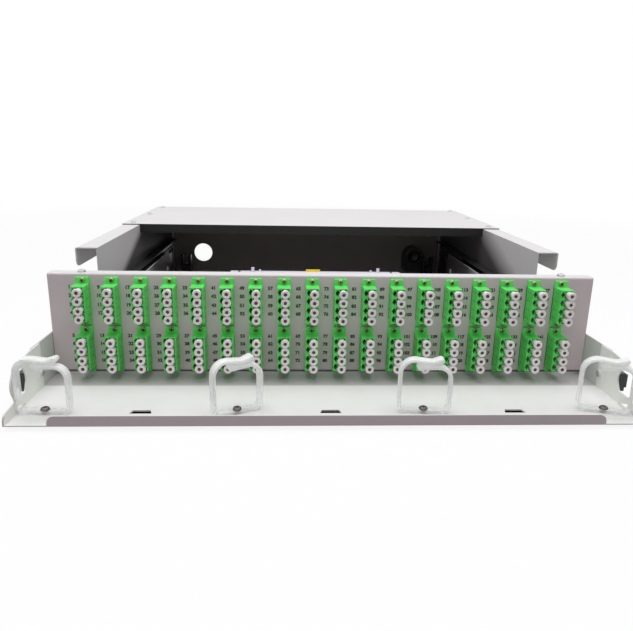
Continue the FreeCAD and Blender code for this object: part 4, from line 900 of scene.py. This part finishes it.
@dataclass
class DustCaps:
    """Soft dust caps: a stem in the port and a flared head with a funnel mouth."""

    flare_mm: float = 3.15
    neck_mm: float = 2.5
    head_mm: float = 5.6
    gap_mm: float = 0.9
    stem_mm: float = 2.3
    stem_length_mm: float = 9.0
    bore_mm: float = 1.2
    bore_depth_mm: float = 9.0
    mouth_depth_mm: float = 0.6
    mouth_step_mm: Pair = (0.3, 0.25)
    rim_step_mm: Pair = (0.4, 0.5)
    flare_height_mm: float = 1.7
    neck_height_mm: float = 1.6
    rounding_mm: float = 0.35
    facets: int = 26
    turn: float = 0.7
    shade_depth_mm: float = 1.0
    shade_mm: float = 0.3
    shade_facets: int = 20

    def blank(self) -> Mesh:
        """One cap about the middle of its port's rim, facing up."""
        end = self.gap_mm + self.head_mm
        bottom = self.gap_mm - self.stem_length_mm
        mouth, mouth_drop = self.mouth_step_mm
        rim, rim_drop = self.rim_step_mm
        profile = [
            (0.0, end - self.bore_depth_mm),
            (self.bore_mm, end - self.bore_depth_mm),
            (self.bore_mm, end - self.mouth_depth_mm),
            (self.bore_mm + mouth, end - mouth_drop),
            (self.flare_mm - rim, end),
            (self.flare_mm, end - rim_drop),
            (self.flare_mm, end - self.flare_height_mm),
            (self.neck_mm, self.gap_mm + self.neck_height_mm),
            (self.neck_mm, self.gap_mm),
            (self.stem_mm, self.gap_mm),
            (self.stem_mm, bottom),
            (0.0, bottom),
        ]
        return lathe(smooth_profile(profile, self.rounding_mm), self.facets)

    def build(self, finisher: Finisher, adapters: Adapters) -> None:
        """Place the caps of both faces, one piece per CAD node."""
        blank = self.blank()
        sets = (("dust_caps_lower", (0,), FACE_FRONT, -adapters.front_mm),
                ("dust_caps_upper", (1,), FACE_FRONT, -adapters.front_mm),
                ("dust_caps_rear", (0, 1), FACE_BACK, adapters.back_mm))
        for node, rows, facing, face in sets:
            mesh = bmesh.new()
            for index, spot in enumerate(adapters.spots(rows)):
                spin = Matrix.Rotation(index * self.turn, 4, "Z")
                place = Matrix.Translation(spot + Vector((0.0, face, 0.0)))
                copy_into(mesh, blank, place @ facing @ spin)
            finisher.add(node.replace("dust_", "soft_"), mesh, CAP, Slot.CAP, [node])
        blank.free()
        self.shadowed_bores(finisher, adapters)

    def shadowed_bores(self, finisher: Finisher, adapters: Adapters) -> None:
        """Lay a brown disc of painted shade in the mouth of every front cap's bore."""
        mesh = bmesh.new()
        disc = lathe([(0.0, 0.0), (self.bore_mm, 0.0), (self.bore_mm, self.shade_mm),
                      (0.0, self.shade_mm)], self.shade_facets)
        height = self.gap_mm + self.head_mm - self.shade_depth_mm
        for spot in adapters.spots((0, 1)):
            place = Matrix.Translation(spot + Vector((0.0, -adapters.front_mm - height, 0.0)))
            copy_into(mesh, disc, place @ FACE_FRONT)
        disc.free()
        finisher.add("cap_bore_shade", mesh, BORE_SHADE, Slot.CAP)


@dataclass
class CableRings:
    """Four open cable rings of bent strip, the left arm lapping over the right one."""

    places_mm: tuple[float, ...] = (-182.8, -61.0, 61.0, 182.8)
    turns: tuple[float, ...] = (-3.0, 28.0, -5.0, -18.0)
    line_mm: float = 72.0
    width_mm: float = 35.0
    height_mm: float = 39.0
    strip_mm: float = 2.4
    depth_mm: float = 7.0
    step_mm: float = 5.4
    upper_tip: Pair = (0.58, 0.9)
    upper_dip: Pair = (0.22, 2.3)
    lower_tip: Pair = (-0.26, 0.5)
    """Points of the arms: the share of half the width, and the drop in millimetres."""
    dip_mm: float = 5.0
    corner_mm: float = 9.0
    foot_mm: float = 5.0
    shoulder_mm: float = 8.0
    longest_setback_mm: float = 11.0
    arc_degrees: float = 9.0
    edge_mm: float = 0.9
    edge_share: float = 0.8
    edge_points: int = 5
    tip_mm: float = 1.8
    swell_mm: float = 4.0
    bulb_steps: tuple[float, ...] = (0.35, 0.7, 0.95)
    bulb_depth_share: float = 0.25

    def middle_line(self) -> list[Pair]:
        """The strip's middle line, from the upper arm's tip round to the lower one's."""
        side = (self.width_mm - self.strip_mm) / 2
        top = self.height_mm - self.strip_mm / 2
        foot = self.strip_mm / 2
        lower = top - self.step_mm
        (tip, tip_drop), (dip, dip_drop), (end, end_drop) = (
            self.upper_tip, self.upper_dip, self.lower_tip)
        corners = [((side * tip, top - tip_drop), 0.0), ((side * dip, top - dip_drop), self.dip_mm),
                   ((-side, top), self.corner_mm), ((-side, foot), self.foot_mm),
                   ((side, foot), self.foot_mm), ((side, lower), self.shoulder_mm),
                   ((side * end, lower - end_drop), 0.0)]
        line: list[Pair] = [corners[0][0]]
        for (before, _), (here, radius), (after, _) in zip(corners, corners[1:], corners[2:]):
            spot = Vector(here)
            back = (Vector(before) - spot).normalized()
            ahead = (Vector(after) - spot).normalized()
            half = back.angle(ahead) / 2
            reach = min(radius / math.tan(half), self.longest_setback_mm)
            bend = reach * math.tan(half)
            centre = spot + (back + ahead).normalized() * (bend / math.sin(half))
            start = spot + back * reach
            finish = spot + ahead * reach
            first = math.atan2(start.y - centre.y, start.x - centre.x)
            sweep = math.atan2(finish.y - centre.y, finish.x - centre.x) - first
            sweep = (sweep + math.pi) % (2 * math.pi) - math.pi
            steps = max(3, int(abs(sweep) / math.radians(self.arc_degrees)))
            for index in range(steps + 1):
                turn = first + sweep * index / steps
                line.append((centre.x + bend * math.cos(turn), centre.y + bend * math.sin(turn)))
        line.append(corners[-1][0])
        return line

    def section(self, across: float) -> list[Pair]:
        """The strip's cross-section: a rounded rectangle, as (offset, depth) points.

        Args:
            across: Half the strip's thickness here.

        Returns:
            The section's points in order.
        """
        deep = self.depth_mm / 2
        edge = min(self.edge_mm, across * self.edge_share)
        points: list[Pair] = []
        for sign_a, sign_d, start in ((1, 1, 0.0), (-1, 1, 90.0), (-1, -1, 180.0), (1, -1, 270.0)):
            for index in range(self.edge_points):
                turn = math.radians(start + index * 90.0 / (self.edge_points - 1))
                points.append((sign_a * (across - edge) + edge * math.cos(turn),
                               sign_d * (deep - edge) + edge * math.sin(turn)))
        return points

    def blank(self) -> Mesh:
        """One ring about its own screw, drawn in the XZ plane."""
        line = [Vector(point) for point in self.middle_line()]
        mesh = bmesh.new()
        rows = []
        length = sum((b - a).length for a, b in zip(line, line[1:]))
        travelled = 0.0
        half = self.strip_mm / 2
        for index, point in enumerate(line):
            before = line[max(index - 1, 0)]
            after = line[min(index + 1, len(line) - 1)]
            along = (after - before).normalized()
            side = Vector((-along.y, along.x))
            if index:
                travelled += (point - line[index - 1]).length
            rest = min(travelled, length - travelled)
            across = half + (self.tip_mm - half) * max(0.0, 1 - rest / self.swell_mm)
            row = []
            for offset, depth in self.section(across):
                spot = point + side * offset
                row.append(mesh.verts.new((spot.x, depth, spot.y)))
            rows.append(row)
        for first, second in zip(rows, rows[1:]):
            bridge(mesh, first, second)
        for row, along in ((rows[0], line[0] - line[1]), (rows[-1], line[-1] - line[-2])):
            self.round_tip(mesh, row, along.normalized())
        return mesh

    def round_tip(self, mesh: Mesh, row: list[Vert], along: Vector) -> None:
        """Close an arm's end with a rounded bulb.

        Args:
            mesh: The ring's mesh.
            row: The last section.
            along: The direction that the arm points in.
        """
        middle = sum((vertex.co for vertex in row), Vector()) / len(row)
        push = Vector((along.x, 0.0, along.y))
        last = row
        for step in self.bulb_steps:
            shrink = math.sqrt(1 - step * step)
            deep = 1 - self.bulb_depth_share + self.bulb_depth_share * shrink
            after = []
            for vertex in row:
                offset = vertex.co - middle
                flat = Vector((offset.x * shrink, offset.y * deep, offset.z * shrink))
                after.append(mesh.verts.new(middle + flat + push * self.tip_mm * step))
            bridge(mesh, last, after)
            last = after
        mesh.faces.new(last)

    def build(self, finisher: Finisher) -> None:
        """Place the rings, each on its own body."""
        blank = self.blank()
        for number, (place, turn) in enumerate(zip(self.places_mm, self.turns), 1):
            mesh = bmesh.new()
            spin = Matrix.Rotation(math.radians(turn), 4, "Z")
            copy_into(mesh, blank, Matrix.Translation((place, -self.line_mm, 0.0)) @ spin)
            finisher.add("ring_strip_%d" % number, mesh, RING, Slot.RING,
                         ["cable_ring_%d" % number], Body.RING.value % number)
        blank.free()


@dataclass
class PortNumbers:
    """Printed port numbers beside each port, on the panel's face."""

    size_mm: float = 3.5
    shift_mm: float = -10.2
    thickness_mm: float = 0.03
    boldness_mm: float = 0.2

    def build(self, finisher: Finisher, adapters: Adapters) -> None:
        """Print all numbers as one piece."""
        mesh = bmesh.new()
        number = 0
        for column in range(adapters.columns):
            for row in (1, 0):
                for port in reversed(adapters.ports_mm):
                    number += 1
                    spot = Vector((adapters.column_x(column) + self.shift_mm, -self.thickness_mm,
                                   adapters.row_heights_mm[row] + port))
                    self.print_number(mesh, str(number), spot)
        finisher.add("port_numbers", mesh, PRINT_INK, Slot.BLACK_PLASTIC)

    def print_number(self, mesh: Mesh, text: str, spot: Vector) -> None:
        """Add one number, centred on a spot, to the mesh.

        Args:
            mesh: The mesh of all numbers.
            text: The digits.
            spot: The number's middle, in millimetres from the drawer's place.
        """
        curve = bpy.data.curves.new("digits", "FONT")
        curve.body = text
        curve.size = self.size_mm
        curve.offset = self.boldness_mm
        curve.align_x = curve.align_y = "CENTER"
        curve.resolution_u = 3
        holder = bpy.data.objects.new("digits", curve)
        flat = bpy.data.meshes.new_from_object(holder)
        glyphs = bmesh.new()
        glyphs.from_mesh(flat)
        copy_into(mesh, glyphs, Matrix.Translation(spot) @ FACE_FRONT)
        glyphs.free()
        bpy.data.objects.remove(holder)
        bpy.data.curves.remove(curve)
        bpy.data.meshes.remove(flat)


@dataclass
class Membrane:
    """The soft membrane that closes the cable inlet's bore, thinner in the middle."""

    place_mm: Triple = (147.0, 158.0, 26.5)
    bore_mm: float = 9.0
    rim_mm: float = 6.3
    middle_mm: float = 5.4
    thick_mm: float = 1.6
    thin_mm: float = 0.8
    facets: int = 40

    def build(self, finisher: Finisher) -> None:
        """Place the membrane in the case's inlet."""
        disc = lathe([(0.0, 0.0), (self.bore_mm, 0.0), (self.bore_mm, self.thick_mm),
                      (self.rim_mm, self.thick_mm), (self.middle_mm, self.thin_mm),
                      (0.0, self.thin_mm)], self.facets)
        bmesh.ops.transform(disc, matrix=FACE_FRONT, verts=disc.verts)
        finisher.add("inlet_membrane", disc, BLACK_PLASTIC, Slot.BLACK_PLASTIC,
                     body=Body.CASE.value, offset=Vector(self.place_mm))


@dataclass(frozen=True)
class Lamp:
    """One soft rectangular lamp."""

    name: str
    place: Triple
    aim: Triple
    width: float
    depth: float
    power: float

    def build(self) -> None:
        """Hang the lamp and aim it."""
        data = bpy.data.lights.new(self.name, "AREA")
        data.shape = "RECTANGLE"
        data.size = self.width
        data.size_y = self.depth
        data.energy = self.power
        lamp = bpy.data.objects.new(self.name, data)
        lamp.location = self.place
        direction = Vector(self.aim) - Vector(self.place)
        lamp.rotation_euler = direction.to_track_quat("-Z", "Y").to_euler()
        bpy.context.collection.objects.link(lamp)


@dataclass
class Studio:
    """Camera, lamps, white world and pale floor."""

    focal_mm: float = 34.42
    sensor_mm: float = 36.0
    nearest: float = 0.01
    place: Triple = (-0.03002, -0.6703, 0.17136)
    pitch: float = 0.2732
    yaw: float = -0.0532
    roll: float = 0.0200
    fill: float = 0.26
    whiteness: float = 0.89
    floor_mm: float = 40000.0
    floor_drop_mm: float = 0.05
    contact: float = 0.02
    # How near the part must be for the floor to take painted shadow, in metres.
    """How near the part must be to darken the floor, in metres."""
    contact_sky: Pair = (0.3, 0.6)
    sky_samples: int = 16
    floor_whites: Pair = (0.88, 0.9)
    # The floor's colour in its painted shadow.
    shadow: float = 0.02
    bounce: float = 0.35
    # Where the painted shadow is left off, in front of the drawer's lip.
    shadow_front: Pair = (0.314, 0.317)
    horizon: Pair = (0.45, 1.3)
    """Distances between which the floor turns to the background's white."""
    lamps: tuple[Lamp, ...] = (
        Lamp("overhead", (0.0, -0.2, 1.5), (0.0, -0.15, 0.0), 1.6, 1.1, 21.0),
        Lamp("front", (-0.3, -1.6, 0.9), (0.0, -0.2, 0.03), 1.2, 0.8, 3.0),
    )

    def build(self) -> None:
        """Set the camera, the lamps, the world and the floor."""
        self.camera()
        for lamp in self.lamps:
            lamp.build()
        self.world()
        self.floor()
        bpy.context.scene.view_settings.view_transform = "Standard"

    def camera(self) -> None:
        """Stand the camera where the photograph's stood."""
        data = bpy.data.cameras.new("camera")
        data.lens = self.focal_mm
        data.sensor_width = self.sensor_mm
        data.clip_start = self.nearest
        level = Matrix(((1, 0, 0), (0, 0, -1), (0, 1, 0)))
        turn = (Matrix.Rotation(self.roll, 3, "Z") @ Matrix.Rotation(self.pitch, 3, "X")
                @ Matrix.Rotation(self.yaw, 3, "Y") @ level)
        view = Matrix((turn[0], -turn[1], -turn[2])).transposed()
        camera = bpy.data.objects.new("camera", data)
        camera.matrix_world = Matrix.Translation(self.place) @ view.to_4x4()
        bpy.context.collection.objects.link(camera)
        bpy.context.scene.camera = camera

    def world(self) -> None:
        """Light the object softly from all round, and show white to the camera and in gloss."""
        world = bpy.data.worlds.new("studio")
        world.use_nodes = True
        graph = Graph(world.node_tree)
        soft, white = (
            graph.add("ShaderNodeBackground", {"Color": grey(1.0), "Strength": strength})
            for strength in (self.fill, 1.0))
        mixed = graph.add("ShaderNodeMixShader", {0: graph.seen(), 1: soft, 2: white})
        graph.add("ShaderNodeOutputWorld", {"Surface": mixed})
        bpy.context.scene.world = world

    def floor(self) -> None:
        """Lay a wide white floor with a soft shadow painted from ambient occlusion close to the
        case.
        """
        mesh = bmesh.new()
        bmesh.ops.create_grid(mesh, x_segments=1, y_segments=1, size=self.floor_mm)
        floor = new_object("floor", mesh, Vector((0.0, 0.0, -self.floor_drop_mm)))
        graph = Finish("floor_white")
        grain = graph.noise(4.0)
        seen = graph.seen()
        # Painted shadow: ambient occlusion darkens the floor close to the case.
        sky = graph.add("ShaderNodeAmbientOcclusion", {"Distance": self.contact}, "AO",
                        samples=self.sky_samples)
        ahead = graph.along("Position", FRONT).above(*self.shadow_front)
        open_sky = (sky.above(*self.contact_sky) + ahead).above(0.0, 1.0)
        white_floor = graph.blend(grain, *map(grey, self.floor_whites))
        shown = graph.blend(open_sky, grey(self.shadow), white_floor)
        lit = graph.shader({"Base Color": graph.blend(seen, grey(self.bounce), shown),
                            "Roughness": 0.9, "Specular IOR Level": 0.0})
        white = graph.add("ShaderNodeEmission", {"Color": grey(1.0), "Strength": 1.0})
        place = graph.add("ShaderNodeNewGeometry", output="Position")
        distance = graph.add("ShaderNodeVectorMath", {0: place}, "Value", operation="LENGTH")
        whiteness = self.whiteness + distance.above(*self.horizon) * (1.0 - self.whiteness)
        share = seen * open_sky * whiteness
        mixed = graph.add("ShaderNodeMixShader", {0: share, 1: lit, 2: white})
        floor.data.materials.append(graph.finish(mixed))


def main() -> None:
    """Build the scene in order."""
    logging.basicConfig(level=logging.INFO, format="%(name)s: %(message)s")
    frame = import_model()
    finisher = Finisher(frame["nodes"])
    adapters = Adapters()
    Studio().build()
    for dressing in DRESSINGS:
        finisher.dress(*dressing)
    Membrane().build(finisher)
    adapters.build(finisher)
    DustCaps().build(finisher, adapters)
    CableRings().build(finisher)
    PortNumbers().build(finisher, adapters)


if __name__ == "__main__":
    main()
